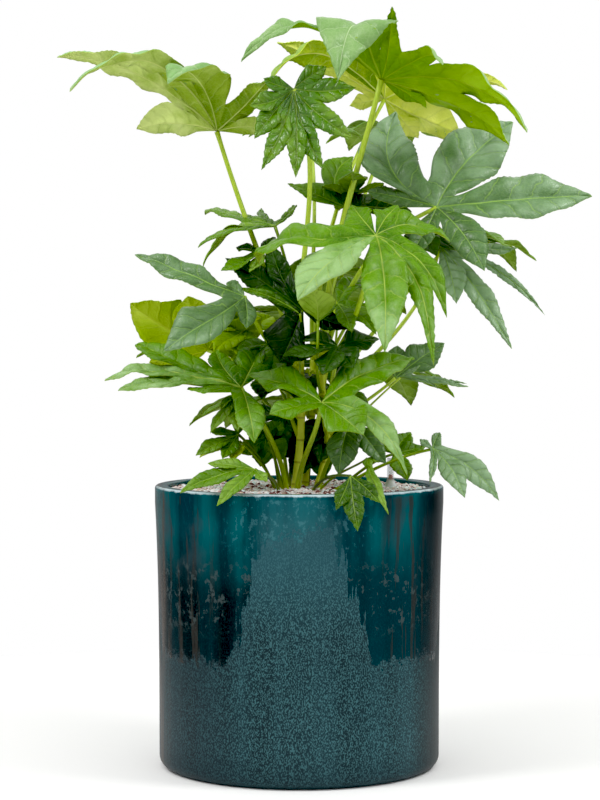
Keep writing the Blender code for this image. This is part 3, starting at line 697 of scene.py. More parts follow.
def leaf(name, hub, facing, half_width, lobes, stalk, cup=0, fused=False, kind="fresh", tone=50):
    """A leaf, from its hub, its plane's heading, pitch and roll, its lobes and its stalk.

    Lengths are in millimetres, turns in degrees, and shares and tones in hundredths.
    Each lobe is its angle from the heading, its length, how far its tip hangs as a share of that length,
    how far the web towards the next lobe reaches as a share of their mean length, its width as a share of
    the leaf's own, how far it bows sideways, and its twist. The tone runs from deep to pale green: partly
    the leaf's own colour, and partly painted shade where the leaf stands in shade and a painted sheen where
    it catches the light.
    """
    rows = [(*lobe, *LOBE_REST[len(lobe) - 3:]) for lobe in lobes]
    lobes = tuple(Lobe(row[0], row[1] / 1000, *(share / 100 for share in row[2:6]), row[6]) for row in rows)
    tone = tuple(share / 100 for share in tone) if isinstance(tone, tuple) else tone / 100
    return Leaf(name, np.array(hub) / 1000, facing, cup, half_width / 1000, lobes, stalk, fused, kind, tone)


def fan(count, spread, longest, shortest, hang):
    """Lobes of an even fan, longest in the middle."""
    lobes = []
    for index in range(count):
        side = 2.0 * index / (count - 1) - 1.0
        lobes.append((side * spread, longest + (shortest - longest) * abs(side) ** 1.6, hang))
    return tuple(lobes)


LEAVES = (
    leaf("high_left", (-100, 30, 769), (180, 20, 38), 36,
         ((-22, 106, 5, 16, 110, 45), (18, 228, 14, 46, 64, 42), (34, 256, 46, 40, 60, 50),
          (61, 194, 45, 30, 113, 35), (106, 138, 10, 30, 56), (139, 76, 15, 0, 83)),
         held_by(from_cane("cane_1", 502, 180), 68, (200, 72), 3.6), kind="crown_left",
         tone=(95, 85, 70, 40, 10, 50)),
    leaf("crown_right", (98, -30, 825), (-90, 42, -20), 40,
         ((-61, 218, 55, 22, 51, 0, -52), (-21, 187, 87, 28, 129, 0, -34), (2, 108, 5, 45, 39),
          (30, 130, 50, 42, 47, 20), (64, 186, 54, 58, 67, 10), (92, 156, 32, 34, 88, 10),
          (116, 62, 10, 0, 70)),
         held_by(on_top("cane_2"), 86, (0, 76), 4.2), cup=8, kind="crown_right",
         tone=(45, 50, 60, 80, 90, 95, 35)),
    leaf("crown_front", (-6, -90, 808), (-90, -70, 0), 24,
         ((-110, 38, 0, 40, 73, 10), (-67, 56, 0, 40, 89, 20), (-36, 78, 0, 40, 72, 10),
          (-20, 110, 0, 40, 54, 10), (1, 112, 0, 40, 53), (19, 108, 0, 40, 55, -10),
          (48, 92, 0, 36, 68, -10), (91, 72, 0, 42, 80, -20), (127, 48, 0, 0, 87)),
         held_by(on_top("cane_1"), 86, (-125, 52), 3.4), kind="crown_front", tone=55),
    leaf("crown_back", (109, 170, 822), (-90, 50, 0), 36,
         ((-104, 46, 0, 34, 85), (-50, 178, 15, 40, 53), (-42, 225, 55, 30, 61), (0, 90, 10, 40, 67),
          (67, 168, 25, 40, 50), (112, 110, 10, 42, 136, 20), (143, 76, 0, 0, 92)),
         held_by(on_top("cane_3"), 86, (0, 62), 3), kind="crown_back", tone=(100, 100, 10, 90, 80, 85, 85)),
    leaf("broad_right", (163, -50, 672), (0, 5, 53), 34,
         ((-120, 76, 0, 30, 69), (-63, 102, 8, 24, 91, 20), (2, 186, 4, 17, 100, 12),
          (49, 162, 0, 27, 126, 36), (102, 158, 0, 30, 115, 70), (156, 88, 0, 0, 77)),
         held_by(from_cane("cane_2", 494, 20), 74, (-20, 20), 3.4), kind="broad",
         tone=(20, 22, 72, 80, 72, 10)),
    leaf("front", (88, -140, 635), (-90, -35, 0), 38,
         ((-159, 74, 0, 50, 69), (-123, 162, 50, 42, 87, 85), (-49, 120, 24, 18, 114, 10),
          (2, 156, 28, 24, 72), (23, 154, 42, 36, 37, 15), (50, 102, 55, 34, 61, 20),
          (115, 96, 30, 40, 72, 25), (157, 70, 0, 0, 69)),
         held_by(from_cane("cane_2", 478, -50), 40, (-60, 66), 3.4), tone=(25, 45, 90, 52, 45, 25, 35, 25)),
    leaf("mid_left", (-64, -85, 566), (180, 5, -45), 34,
         ((-39, 30, 0, 30, 69), (-26, 152, 5, 24, 52, 25), (38, 112, 20, 36, 109, 50),
          (97, 48, 10, 30, 61)),
         held_by(from_cane("cane_1", 484, 180), 30, (-115, 46), 3), kind="broad", tone=(40, 50, 50, 30)),
    leaf("heart", (3, -36, 551), (180, 0, -75), 29,
         ((157, 62, 0, 30, 57), (294, 98, 0, 40, 53, 10), (325, 112, 0, 42, 59), (428, 70, 0, 40, 162)),
         held_by(from_cane("cane_1", 486, -80), 52, (-90, 45), 2.8), kind="deep", tone=(10, 15, 30, -10)),
    leaf("lime_left", (-113, 60, 502), (-90, 50, 0), 34,
         ((-105, 76, 0, 34), (-50, 120, 0, 40), (-14, 90, 0, 42), (22, 80, 0, 42), (52, 84, 0, 36),
          (88, 64, 0)),
         held_by(from_cane("cane_1", 440, 140), 30, (170, 20), 2.8), kind="lime",
         tone=(60, 60, 45, 35, 30, 30)),
    leaf("low_left", (-68, -80, 459), (180, 5, -35), 31,
         ((-103, 102, 0, 44, 96, 10), (-63, 80, 0, 50, 85, 10), (-35, 166, 10, 50, 85, 10),
          (-17, 176, 20, 50, 53, 10), (-9, 150, 20, 44, 85, 15), (1, 64, 10, 40, 137),
          (103, 96, 5, 26, 78)),
         held_by(from_fill(-14.5, -13), 80, (190, 58), 3.2), tone=(0, 10, 30, 80, 75, 35, 45)),
    leaf("low_front", (26, -120, 443), (-90, -35, 0), 33,
         ((-122, 102, 0, 34, 99, -20), (-75, 62, 8, 44, 115), (45, 68, 10, 40, 127, 10),
          (61, 112, 45, 34, 58, 45), (134, 156, 8, 34, 87, 10)),
         held_by(from_fill(-3, -18), 72, (-70, 66), 3.6), tone=(38, 38, 42, 75, 42)),
    leaf("low_shade", (61, -85, 425), (-90, -60, 0), 24,
         ((-12, 72, 5, 30, 83), (35, 70, 5, 0, 62)),
         held_by(from_fill(22, -12), 66, (-50, 52), 2.6), kind="broad", tone=(20, 25)),
    leaf("rim_front", (58, -177, 362), (-90, -60, 0), 16,
         ((-22, 44, 5, 45, 77), (7, 64, 8, 45, 78), (48, 44, 8, 0, 73)),
         held_by(from_fill(12, -30), 34, (-75, 2), 2), kind="inner", tone=-10),
    leaf("low_right", (159, -50, 386), (0, -10, 40), 18,
         ((148, 20, 0, 30, 96), (270, 52, 10, 30, 34), (307, 70, 18, 34, 96, 10),
          (342, 86, 34, 30, 85, 0, 30), (438, 32, 0, 0, 55)),
         held_by(from_fill(30, -24), 30, (-12, 12), 2.2), kind="broad", tone=(80, 90, 95, 135, 70)),
    leaf("mid_right", (118, 40, 468), (0, 10, 50), 30,
         ((-15, 88, 5, 25, 16, 0, 50), (31, 80, 0, 40, 73, 10), (77, 50, 0, 0, 65)),
         held_by(from_cane("cane_2", 400, 10), 50, (0, 42), 2.4), kind="broad", tone=(90, 45, 40)),
    leaf("hanging_right", (170, 0, 628), (0, -10, 50), 22,
         ((-70, 80, 10, 26, 109, 20), (-48, 144, 18, 24, 70, 15), (-17, 138, 22, 20, 30, 0, 40),
          (16, 98, 5, 0, 53, -20)),
         held_by(from_cane("cane_2", 436, 0), 46, (10, 78), 2.8), kind="broad", tone=(130, 100, 135, 50)),
    leaf("small_left", (-29, -6, 652), (180, 0, -15), 13,
         ((-103, 118, 0, 20, 51), (-80, 104, 0, 30, 61, 10), (-59, 176, 10, 35, 103, 15),
          (-19, 94, 60, 35, 198, 30), (16, 96, 20, 20, 168, 10)),
         held_by(from_cane("cane_1", 482, 105), 84, (200, 70), 2.4), fused=True, kind="inner",
         tone=(50, 30, 70, 90, 50)),
    leaf("inner_top", (56, 30, 677), (180, 20, -40), 20,
         ((-155, 88, 0, 40, 95), (-131, 64, 0, 40, 84), (-84, 106, 0, 50, 100, 70), (-4, 76, 0, 0, 96, 10)),
         held_by(from_cane("cane_3", 470, 20), 74, (20, 74), 2.4), fused=True, kind="inner",
         tone=(-20, -10, 35, 55)),
    leaf("inner_right", (114, 2, 377), (0, 0, 30), 14,
         ((-74, 54, 10), (20, 42, 0), (64, 54, 0), (120, 30, 0)),
         held_by(from_fill(37, 2), 34, (0, 16), 2), fused=True, kind="inner"),
    leaf("rim_left", (-50, -154, 368), (180, -5, -40), 14,
         ((-22, 58, 8), (8, 88, 12), (40, 60, 18), (120, 26, 0)),
         held_by(from_fill(-22, -28), 40, (-110, 16), 2), fused=True, kind="inner", tone=60),
    leaf("lower_left", (-72, -50, 403), (180, 0, -40), 13,
         ((-98, 34, 0), (-6, 34, 0), (27, 56, 15), (64, 42, 8)),
         held_by(from_fill(-26, -8), 62, (200, 40), 2), fused=True, kind="inner", tone=40),
    leaf("inner_left", (-41, 12, 395), (180, -10, -50), 16,
         ((-138, 32, 0), (31, 36, 0), (74, 42, 0), (116, 40, 0)),
         held_by(from_fill(-20, 14), 66, (190, 50), 2), fused=True, kind="inner"),
    leaf("young", (22, -82, 538), (-90, 60, 0), 22, ((-6, 44, 0),),
         held_by(from_cane("cane_2", 452, -100), 8, (-90, 86), 2), fused=True, kind="inner", tone=90),
    leaf("back_top", (118, 262, 795), (75, 0, 0), 25, fan(7, 132, 115, 62, 22),
         held_by(from_cane("cane_3", 462, 60), 78, (60, 58), 3), kind="back"),
    leaf("back_left", (12, 150, 785), (110, 12, 0), 22, fan(7, 132, 105, 55, 22),
         held_by(from_cane("cane_3", 474, 110), 80, (110, 66), 2.8), kind="back"),
    leaf("back_centre", (55, 180, 602), (88, -20, 0), 29, fan(7, 132, 132, 70, 20),
         held_by(from_cane("cane_3", 440, 90), 66, (90, 50), 3), kind="back"),
    leaf("back_right", (198, 110, 648), (40, -12, 0), 24, fan(7, 132, 110, 55, 20),
         held_by(from_cane("cane_3", 425, 10), 56, (20, 48), 2.8), kind="back"),
    leaf("back_mid", (-82, 135, 548), (138, -18, 0), 29, fan(7, 132, 140, 70, 22),
         held_by(from_cane("cane_3", 420, 150), 50, (130, 46), 2.8), kind="back"),
    leaf("back_low_right", (90, 150, 485), (62, -14, 0), 27, fan(7, 132, 128, 65, 22),
         held_by(from_cane("cane_3", 392, 60), 44, (55, 40), 2.6), kind="back"),
    leaf("back_low_left", (-45, 110, 440), (118, -8, 0), 24, fan(7, 132, 110, 58, 24),
         held_by(from_fill(-12, 42), 66, (140, 40), 2.6), kind="back"),
)


# The finer leaves inside the plant, which spring from the same canes and foot
FINER_LEAVES = (
    leaf("behind_front", (46, -30, 558), (-90, -28, 0), 15,
         ((-33, 44, 10), (14, 64, 10), (40, 70, 15), (71, 58, 10), (160, 96, 15)),
         held_by(from_cane("cane_2", 424, -70), 60, (-90, 60), 1.8), kind="inner"),
    leaf("dark_middle", (46, -60, 507), (-90, -30, 0), 22,
         ((-123, 54, 5), (-79, 66, 10), (-21, 54, 10), (23, 44, 10), (117, 56, 5)),
         held_by(from_cane("cane_2", 390, -90), 60, (-80, 60), 2), kind="deep", tone=60),
    leaf("shade_left", (-33, -10, 510), (180, -10, -40), 24,
         ((-5, 42, 5), (42, 64, 10), (80, 72, 10), (106, 58, 0)),
         held_by(from_cane("cane_1", 400, 170), 60, (190, 50), 2.2), kind="inner", tone=15),
    leaf("foot_left", (-19, 40, 422), (180, -20, -45), 22,
         ((-20, 50, 5), (30, 60, 10), (65, 56, 10), (103, 42, 0)),
         held_by(from_fill(-10, 20), 70, (190, 60), 2), kind="deep"),
    leaf("foot_right", (32, 50, 422), (-60, -50, 0), 18,
         ((-50, 64, 0), (-27, 78, 5), (3, 70, 10), (37, 42, 0)),
         held_by(from_fill(24, 34), 74, (-60, 70), 2), kind="deep", tone=40),
    leaf("pale_left", (-71, -40, 395), (180, 0, -25), 13,
         ((-8, 34, 15), (21, 50, 25), (78, 38, 20)),
         held_by(from_fill(-20, -20), 56, (190, 40), 1.6), kind="lime", tone=90),
    leaf("side_left", (-67, -50, 449), (180, -10, -35), 14,
         ((18, 30, 15), (36, 52, 35), (79, 52, 20)),
         held_by(from_fill(-18, -14), 74, (190, 50), 1.8), kind="inner", tone=70),
    leaf("shade_right", (139, 10, 653), (0, -10, 45), 20,
         ((-165, 34, 0, 30, 106), (-88, 42, 0, 40, 66, 10), (-56, 56, 0, 40, 76), (-29, 62, 0, 0, 51)),
         held_by(from_cane("cane_2", 462, 40), 76, (20, 60), 2.2), kind="deep", tone=(30, 50, 70, 30)),
    leaf("rim_right", (79, -110, 378), (-60, -40, 0), 10,
         ((-29, 22, 0, 30, 91), (-6, 78, 15, 30, 85, -22), (84, 20, 0, 0, 139)),
         held_by(from_fill(20, -30), 50, (-70, 20), 1.6), kind="inner", tone=(50, 90, 50)),
    leaf("thin_right", (122, -10, 470), (0, 4, 30), 6.5,
         ((-19, 46, 20), (-10, 82, 12), (40, 34, 0)),
         held_by(from_cane("cane_2", 380, 0), 50, (0, 42), 1.4), kind="broad", tone=90),
    leaf("shade_low", (-14, 60, 480), (-100, -15, 0), 26,
         ((-155, 110, 0), (-79, 52, 5), (-8, 102, 10), (17, 118, 10), (132, 46, 0)),
         held_by(from_cane("cane_3", 385, -140), 50, (200, 50), 2), kind="deep", tone=40),
    leaf("shade_back", (43, 70, 455), (-80, -15, 0), 24,
         ((-141, 46, 0), (-13, 114, 10), (15, 90, 10), (116, 66, 5), (160, 132, 0)),
         held_by(from_cane("cane_3", 370, -40), 50, (-40, 50), 2), kind="inner", tone=10),
    leaf("high_back", (65, 60, 692), (-80, 10, 0), 18,
         ((-174, 68, 10), (-41, 68, 0), (-11, 124, 0), (20, 74, 5), (147, 68, 10)),
         held_by(from_cane("cane_3", 480, -20), 82, (-20, 76), 2), kind="inner", tone=30),
    leaf("side_back", (-65, 50, 527), (200, 5, -30), 22,
         ((-139, 58, 0), (-80, 58, 0), (-7, 48, 10), (42, 72, 10), (74, 70, 10)),
         held_by(from_cane("cane_1", 420, 150), 40, (190, 40), 2), kind="lime", tone=30),
    leaf("side_small", (-45, 0, 621), (180, 0, -25), 13,
         ((-28, 36, 0, 30, 144), (47, 70, 5, 30, 117, 10), (73, 50, 10, 20, 77, 20), (249, 46, 0, 0, 77)),
         held_by(from_cane("cane_1", 470, 150), 70, (200, 50), 1.8), kind="inner", tone=(0, 50, 90, -10)),
    leaf("foot_middle", (16, 35, 397), (-90, -62, 0), 17,
         ((-62, 52, 0), (-22, 60, 5), (14, 56, 10), (50, 50, 0)),
         held_by(from_fill(10, 46), 80, (-80, 70), 1.8), kind="inner", tone=-15),
    leaf("crescent", (1, -50, 546), (180, 0, -60), 12, ((-26, 84, 0, 30, 56, -40),),
         held_by(from_cane("cane_1", 450, -100), 40, (-100, 40), 1.6), kind="inner", tone=15),
)


def direction(azimuth, elevation):
    """A unit vector from an azimuth and an elevation in degrees."""
    turn, lift = math.radians(azimuth), math.radians(elevation)
    return np.array((math.cos(lift) * math.cos(turn), math.cos(lift) * math.sin(turn), math.sin(lift)))


def leaf_axes(row):
    """The leaf's heading, its left side and its upper side as unit vectors."""
    heading, pitch, roll = row.facing
    ahead = direction(heading, pitch)
    level = unit(np.cross((0.0, 0.0, 1.0), ahead))
    roll = math.radians(roll)
    left = math.cos(roll) * level + math.sin(roll) * np.cross(ahead, level)
    return ahead, left, np.cross(ahead, left)


def lobe_run(row, lobe, shares):
    """Places along a lobe's midrib, with the directions across the lobe and out of its upper side."""
    angle, length, hang, _, _, bow, twist = lobe
    ahead, left, normal = leaf_axes(row)
    turn, lift = math.radians(angle), math.radians(row.cup)
    flat = math.cos(turn) * ahead + math.sin(turn) * left
    out = math.cos(lift) * flat + math.sin(lift) * normal
    shares = np.asarray(shares, dtype=float)[:, None]
    down = np.array((0.0, 0.0, 1.0))
    across = math.cos(turn) * left - math.sin(turn) * ahead
    curve = LOBE_CURVE * math.sin(0.9 * angle + 60.0 * row.hub[0]) + bow
    place = row.hub + out * length * shares - down * hang * length * shares ** 3
    place = place + across * (curve * length) * (shares - shares ** 2)
    along = unit(out - down * 3.0 * hang * shares ** 2 + across * curve * (1.0 - 2.0 * shares))
    across = unit(across - along * (along @ across)[:, None])
    up = np.cross(along, across)
    turns = math.radians(twist) * np.sin(0.5 * math.pi * shares)
    return place, across * np.cos(turns) + up * np.sin(turns), up * np.cos(turns) - across * np.sin(turns)


def lobe_width(row, index, side, shares, free):
    """The width of one side of a lobe, and how far it reaches over the lobe beside it."""
    lobes = row.lobes
    longest = max(lobe.length for lobe in lobes)
    lobe = lobes[index]
    full = row.half_width * lobe.width * math.sqrt(lobe.length / longest) * np.sin(math.pi * shares ** 1.16)
    if len(lobes) == 1:
        return full, 0.0 * full
    place = lobe_run(row, lobe, shares)[0]
    beside = lobe_run(row, lobes[(index + side) % len(lobes)], np.linspace(0.1, 1.0, 28))[0]
    nearest = np.linalg.norm(place[:, None] - beside[None], axis=2).min(axis=1)
    limit = (RIB_SHARE + OVERLAP * np.clip(free / 0.3, 0.0, 1.0)) * nearest
    width = (np.maximum(full, 1e-6) ** -5 + limit ** -5) ** -0.2
    return width, np.maximum(0.0, width - RIB_SHARE * nearest)


def web_reach(lobes, index):
    """How far from the hub the web between a lobe and the next one reaches."""
    first, second = lobes[index].length, lobes[index + 1].length
    return min(lobes[index].web * 0.5 * (first + second), WEB_LIMIT * min(first, second))


class Surface:
    """A leaf's surface as it grows: points, the way out of each, the midrib's thickness there, faces."""

    def __init__(self, hub, normal):
        self.points, self.normals, self.ribs = [hub], [normal], [HUB_THICKNESS]
        self.faces, self.corners, self.shades = [], [], []

    def add(self, places, ways, rib=0.0):
        """Add points and give their numbers."""
        first = len(self.points)
        self.points.extend(places)
        self.normals.extend(ways)
        self.ribs.extend(np.broadcast_to(rib, len(places)))
        return np.arange(first, len(self.points))


def add_webs(surface, row):
    """For each pair of lobes, the points from the hub to the notch between them, and the notch's place."""
    hub_normal = leaf_axes(row)[2]
    shares = WEB[1:, None]
    webs = []
    for index in range(len(row.lobes) - 1):
        reach = web_reach(row.lobes, index)
        pair = [lobe_run(row, lobe, [reach / lobe.length]) for lobe in row.lobes[index:index + 2]]
        way = unit(pair[0][2][0] + pair[1][2][0])
        notch = 0.5 * (pair[0][0][0] + pair[1][0][0])
        notch = notch + way * FOLD * np.linalg.norm(notch - pair[0][0][0])
        ways = unit(hub_normal * (1.0 - shares) + way * shares)
        webs.append((surface.add(row.hub + (notch - row.hub) * shares, ways), notch))
    return webs


def lobe_edge(row, index, side, start, run, chance):
    """One side's edge of a lobe, folded up, wavy, and toothed from where its web ends.

    Gives the shares of the lobe's length, the shares of its free part, the places, and the way up at each.
    """
    length = row.lobes[index].length
    teeth = len(run) // len(TOOTH_SHAPE)
    shares = np.concatenate([WEB * start, start + (1.0 - start) * run])
    free = np.concatenate([0.0 * WEB, run])
    edge, across, up = lobe_run(row, row.lobes[index], shares)
    width, over = lobe_width(row, index, side, shares, free)
    bite = np.concatenate([0.0 * WEB, np.tile(TOOTH_SHAPE, teeth)])
    sizes = np.repeat([chance.uniform(*TOOTH_SIZES) for _ in range(teeth)], len(TOOTH_SHAPE))
    bite[WEB_ROWS + 1:] *= TOOTH_DEPTH * sizes
    bite *= np.clip((free - 0.12) / 0.15, 0.0, 1.0) * np.clip((1.0 - free) / 0.10, 0.0, 1.0)
    phase = chance.uniform(0.0, 2.0 * math.pi)
    sway = np.sin(2.0 * math.pi * shares * length / EDGE_WAVELENGTH + phase)
    sway = EDGE_WAVE * row.half_width * sway * np.sin(math.pi * free)
    rise = FOLD * width + sway + side * OVERLAP_RISE * over
    return shares, free, edge + across * side * (width - bite)[:, None] + up * rise[:, None], up


def add_faces(surface, grid, pairs, side, shades):
    """Faces between the points of a grid, whose first and last rows are one point each."""
    last = len(grid) - 1
    for row_index in range(last):
        for column in range(grid.shape[1] - 1):
            around = [(row_index, column), (row_index + 1, column), (row_index + 1, column + 1),
                      (row_index, column + 1)]
            if row_index == 0:
                del around[3]
            elif row_index == last - 1:
                del around[2]
            if side == -1:
                around.reverse()
            surface.faces.append(tuple(int(grid[spot]) for spot in around))
            surface.shades.append(shades[row_index])
            surface.corners.append([tuple(pairs[spot]) for spot in around])


def add_side(surface, row, index, side, midrib, start, web, run, tone, chance):
    """One side of a lobe, from its midrib to its edge, arched and puffed up between its side veins."""
    length = row.lobes[index].length
    shares, place, up, rib_half, spine = midrib
    edge_shares, free, edge, edge_up = lobe_edge(row, index, side, start, run, chance)
    edge[-1] = place[-1]
    if web:
        line, notch = web
        fade = (1.0 - np.sqrt(np.clip(free / NOTCH_FADE, 0.0, 1.0))) ** 1.5
        edge = edge + (notch - edge[WEB_ROWS]) * fade[:, None]
        edge[1:WEB_ROWS + 1] = np.array(surface.points)[line]
        edge[0] = row.hub
    reach = np.linalg.norm(edge - place, axis=1)
    pitch = min(VEIN_PITCHES[1], max(VEIN_PITCHES[0], length / VEINS_ON_A_LOBE))
    grid = np.zeros((len(shares), len(COLUMNS)), dtype=int)
    grid[:, 0] = spine
    grid[-1, :] = spine[-1]
    pairs = np.zeros((len(shares), len(COLUMNS), 2))
    for column, share in enumerate(COLUMNS):
        off = reach * share
        along = (shares + (edge_shares - shares) * share) * length
        veins = (along - VEIN_SLANT * off) / pitch + (0.0 if side == 1 else VEIN_SHIFT)
        pairs[:, column, 0] = off / rib_half
        pairs[:, column, 1] = veins
        if column == 0:
            continue
        puff = np.abs(np.sin(math.pi * veins)) ** 0.8
        hold = min(1.0, share / COLUMNS[2]) * min(1.0, (1.0 - share) / (1.0 - COLUMNS[-2]))
        arch = ARCH * reach * share * (1.0 - share) * 4.0
        lift = arch + hold * PUFF * pitch * puff * np.clip(shares / 0.15, 0.0, 1.0)
        places = place + (edge - place) * share + up * lift[:, None]
        if share == 1.0 and web:
            grid[1:WEB_ROWS + 1, column] = line
            grid[WEB_ROWS + 1:-1, column] = surface.add(places[WEB_ROWS + 1:-1], edge_up[WEB_ROWS + 1:-1])
        else:
            ways = unit(up * (1.0 - share) + edge_up * share)
            grid[1:-1, column] = surface.add(places[1:-1], ways[1:-1])
    add_faces(surface, grid, pairs, side, tone + HUB_SHADE_TIP_SHEEN * (shares - 0.45))


def thicken(surface, hub, chance):
    """A leaf's upper and lower skin, a little uneven, with the rim between them."""
    points, normals, ribs = np.array(surface.points), unit(np.array(surface.normals)), np.array(surface.ribs)
    away = np.clip(np.linalg.norm(points - hub, axis=1) / 0.05, 0.0, 1.0)
    for wavelength in SWELLS:
        way = direction(chance.uniform(0.0, 360.0), chance.uniform(-50.0, 50.0))
        swell = np.sin(points @ way * 2.0 * math.pi / wavelength + chance.uniform(0.0, 6.0))
        points = points + normals * (SWELL_SHARE * wavelength * away * swell)[:, None]
    half = 0.5 * BLADE_THICKNESS
    upper = points + normals * (half - 0.25 * ribs)[:, None]
    lower = points - normals * (half + ribs)[:, None]
    faces, count = surface.faces, len(points)
    skins = faces + [tuple(corner + count for corner in reversed(face)) for face in faces]
    pairs = [pair for face in surface.corners for pair in face]
    pairs += [pair for face in surface.corners for pair in reversed(face)]
    edges = {(face[side], face[(side + 1) % len(face)]) for face in faces for side in range(len(face))}
    rim = [(end, start, start + count, end + count)
           for start, end in sorted(edges) if (end, start) not in edges]
    return {"points": np.concatenate([upper, lower]).tolist(), "faces": skins + rim,
            "corners": pairs + [RIM_PAIR] * (4 * len(rim)),
            "slots": [0] * len(faces) + [1] * (len(faces) + len(rim)),
            "smooth": [True] * len(skins) + [False] * len(rim),
            "tones_and_painted_light": 2 * surface.shades + [0.5] * len(rim)}


def blade(row, chance):
    """A leaf: the webs between its lobes, then each lobe's midrib and both its sides, thickened."""
    lobes, tones_and_painted_light = row.lobes, row.tone
    surface = Surface(row.hub, leaf_axes(row)[2])
    if not isinstance(tones_and_painted_light, tuple):
        tones_and_painted_light = [row.tone + chance.uniform(-0.12, 0.12) for _ in lobes]
    webs = dict(enumerate(add_webs(surface, row)))
    for index, lobe in enumerate(lobes):
        starts = {side: web_reach(lobes, min(index, index + side)) / lobe.length
                  for side in (-1, 1) if 0 <= index + side < len(lobes)}
        middle = sum(starts.values()) / len(starts) if starts else NOTCH_REACH / 100
        teeth = max(4, round(lobe.length * (1.0 - middle) / TOOTH_PITCH))
        steps = len(TOOTH_SHAPE) * teeth
        run = np.arange(1, steps + 1) / steps
        shares = np.concatenate([WEB * middle, middle + (1.0 - middle) * run])
        place, _, up = lobe_run(row, lobe, shares)
        taper = np.maximum(0.0, 1.0 - 0.85 * shares)
        rib = MIDRIB_RADIUS * math.sqrt(lobe.length / LONG_LOBE)
        spine = surface.add(place[1:-1], up[1:-1], rib * taper[1:-1])
        spine = np.concatenate([[0], spine, surface.add(place[-1:], up[-1:])])
        midrib = (shares, place, up, rib * (0.15 + 0.85 * taper), spine)
        for side in (-1, 1):
            web, start = webs.get(min(index, index + side)), starts.get(side, middle)
            add_side(surface, row, index, side, midrib, start, web, run, tones_and_painted_light[index], chance)
    return thicken(surface, row.hub, chance)


def at_height(path, radii, height):
    """The centre and radius of a cane at a height."""
    share = np.interp(height, path[:, 2], np.arange(len(path)))
    index = min(int(share), len(path) - 2)
    local = share - index
    radius = float(np.interp(share, range(len(radii)), radii))
    return path[index] + (path[index + 1] - path[index]) * local, radius


def stalk_run(row):
    """A stalk's centre line and radii, from inside its cane or the fill to just under the blade."""
    start, rise, approach, radius = row.stalk
    arrive = direction(*approach)
    end = row.hub - leaf_axes(row)[2] * BLADE_THICKNESS
    foot = STALK_FEET[start[0]]
    if start[0] == "cane":
        path, radii = cane_path(start[1], COARSE_STEPS)
        centre, cane_radius = at_height(path, radii, start[2])
        towards = start[3]
        begin = centre + direction(towards, 0.0) * CANE_GRIP * cane_radius
    elif start[0] == "top":
        path, _ = cane_path(start[1], COARSE_STEPS)
        begin = path[-1] - np.array((0.0, 0.0, CANE_TOP_DEPTH))
        towards = math.degrees(math.atan2(end[1] - begin[1], end[0] - begin[0]))
    else:
        towards = math.degrees(math.atan2(end[1] - start[2], end[0] - start[1]))
        begin = np.array((start[1], start[2], FILL_TOP - FILL_DEPTH))
    handle = float(np.linalg.norm(end - begin)) * STALK_HANDLE
    first = begin + direction(towards, rise) * handle
    second = end - arrive * handle
    shares = np.linspace(0.0, 1.0, STALK_STEPS + 1) ** 1.15
    rest = 1.0 - shares
    path = (begin * rest[:, None] ** 3 + first * (3.0 * rest ** 2 * shares)[:, None]
            + second * (3.0 * rest * shares ** 2)[:, None] + end * shares[:, None] ** 3)
    run = np.linalg.norm(path - begin, axis=1)
    swell = 1.0 + (foot - 1.0) * np.exp(-run / STALK_FOOT_FADE)
    radii = radius * (1.0 + (STALK_TAPER - 1.0) * shares) * swell
    radii *= 1.0 + STALK_HEAD * np.exp(-np.linalg.norm(path - end, axis=1) / STALK_HEAD_FADE)
    return path, radii


def blade_skin(name, greens, vein, gloss, shine, veins_show, vein_pallor_and_crease_shade, relief_way):
    """One side of a leaf: its deep, middle and pale greens, the deep partly painted shade and the pale
    painted light, its paler veins, and painted shade in the creases beside its side veins.
    """
    material, tree, shader, place = skin(name)
    pair = unrolled(tree, "veins")
    tone = put(tree, "ShaderNodeAttribute", attribute_name="tone").outputs["Fac"]
    cells = grain(tree, place, 420.0, 3.0, 0.6)
    patches = grain(tree, place, 34.0, 3.0)
    tone = total(tree, tone, about_zero(tree, patches, 1.3), about_zero(tree, cells, 0.25))
    deep, middle, pale = (linear(*green) for green in greens)
    # Painted shade and sheen: the tone picks the green, deep in the shade and pale where the light catches
    darker = tint(tree, step_up(tree, tone, -0.15, 0.55), deep, middle)
    green = tint(tree, step_up(tree, tone, 0.45, 1.15), darker, pale)
    swerve = about_zero(tree, grain(tree, place, 70.0, 2.0), 0.55)
    phase = calc(tree, "FRACT", total(tree, pair["Y"], swerve))
    phase = calc(tree, "ABSOLUTE", calc(tree, "SUBTRACT", phase, 0.5))
    clear = step_up(tree, pair["X"], 1.0, 3.0)
    branch = product(tree, step_up(tree, phase, 0.455, 0.497), clear)
    quilt = product(tree, step_up(tree, phase, 0.30, 0.50), clear)
    wires = {"Vector": place, "Scale": 210.0, "Randomness": 0.9}
    net = put(tree, "ShaderNodeTexVoronoi", wires, feature="DISTANCE_TO_EDGE").outputs["Distance"]
    net = left_over(tree, step_up(tree, net, 0.0, 0.12))
    rib = left_over(tree, step_up(tree, pair["X"], 0.55, 1.15))
    pale_lines = calc(tree, "MAXIMUM", product(tree, branch, 0.30 + vein_pallor_and_crease_shade), product(tree, net, 0.14))
    # Painted shade: darker in the creases beside the side veins
    green = tint(tree, product(tree, quilt, vein_pallor_and_crease_shade), green, deep)
    pale_lines = product(tree, calc(tree, "MAXIMUM", rib, pale_lines), veins_show)
    green = tint(tree, pale_lines, green, linear(*vein))
    relief = total(tree, product(tree, cells, 0.30), product(tree, quilt, -relief_way))
    relief = total(tree, relief, product(tree, net, -0.22 * relief_way))
    coat(tree, shader, green, gloss, relief, 0.6, 0.0012, **{"Specular IOR Level": shine})
    return material


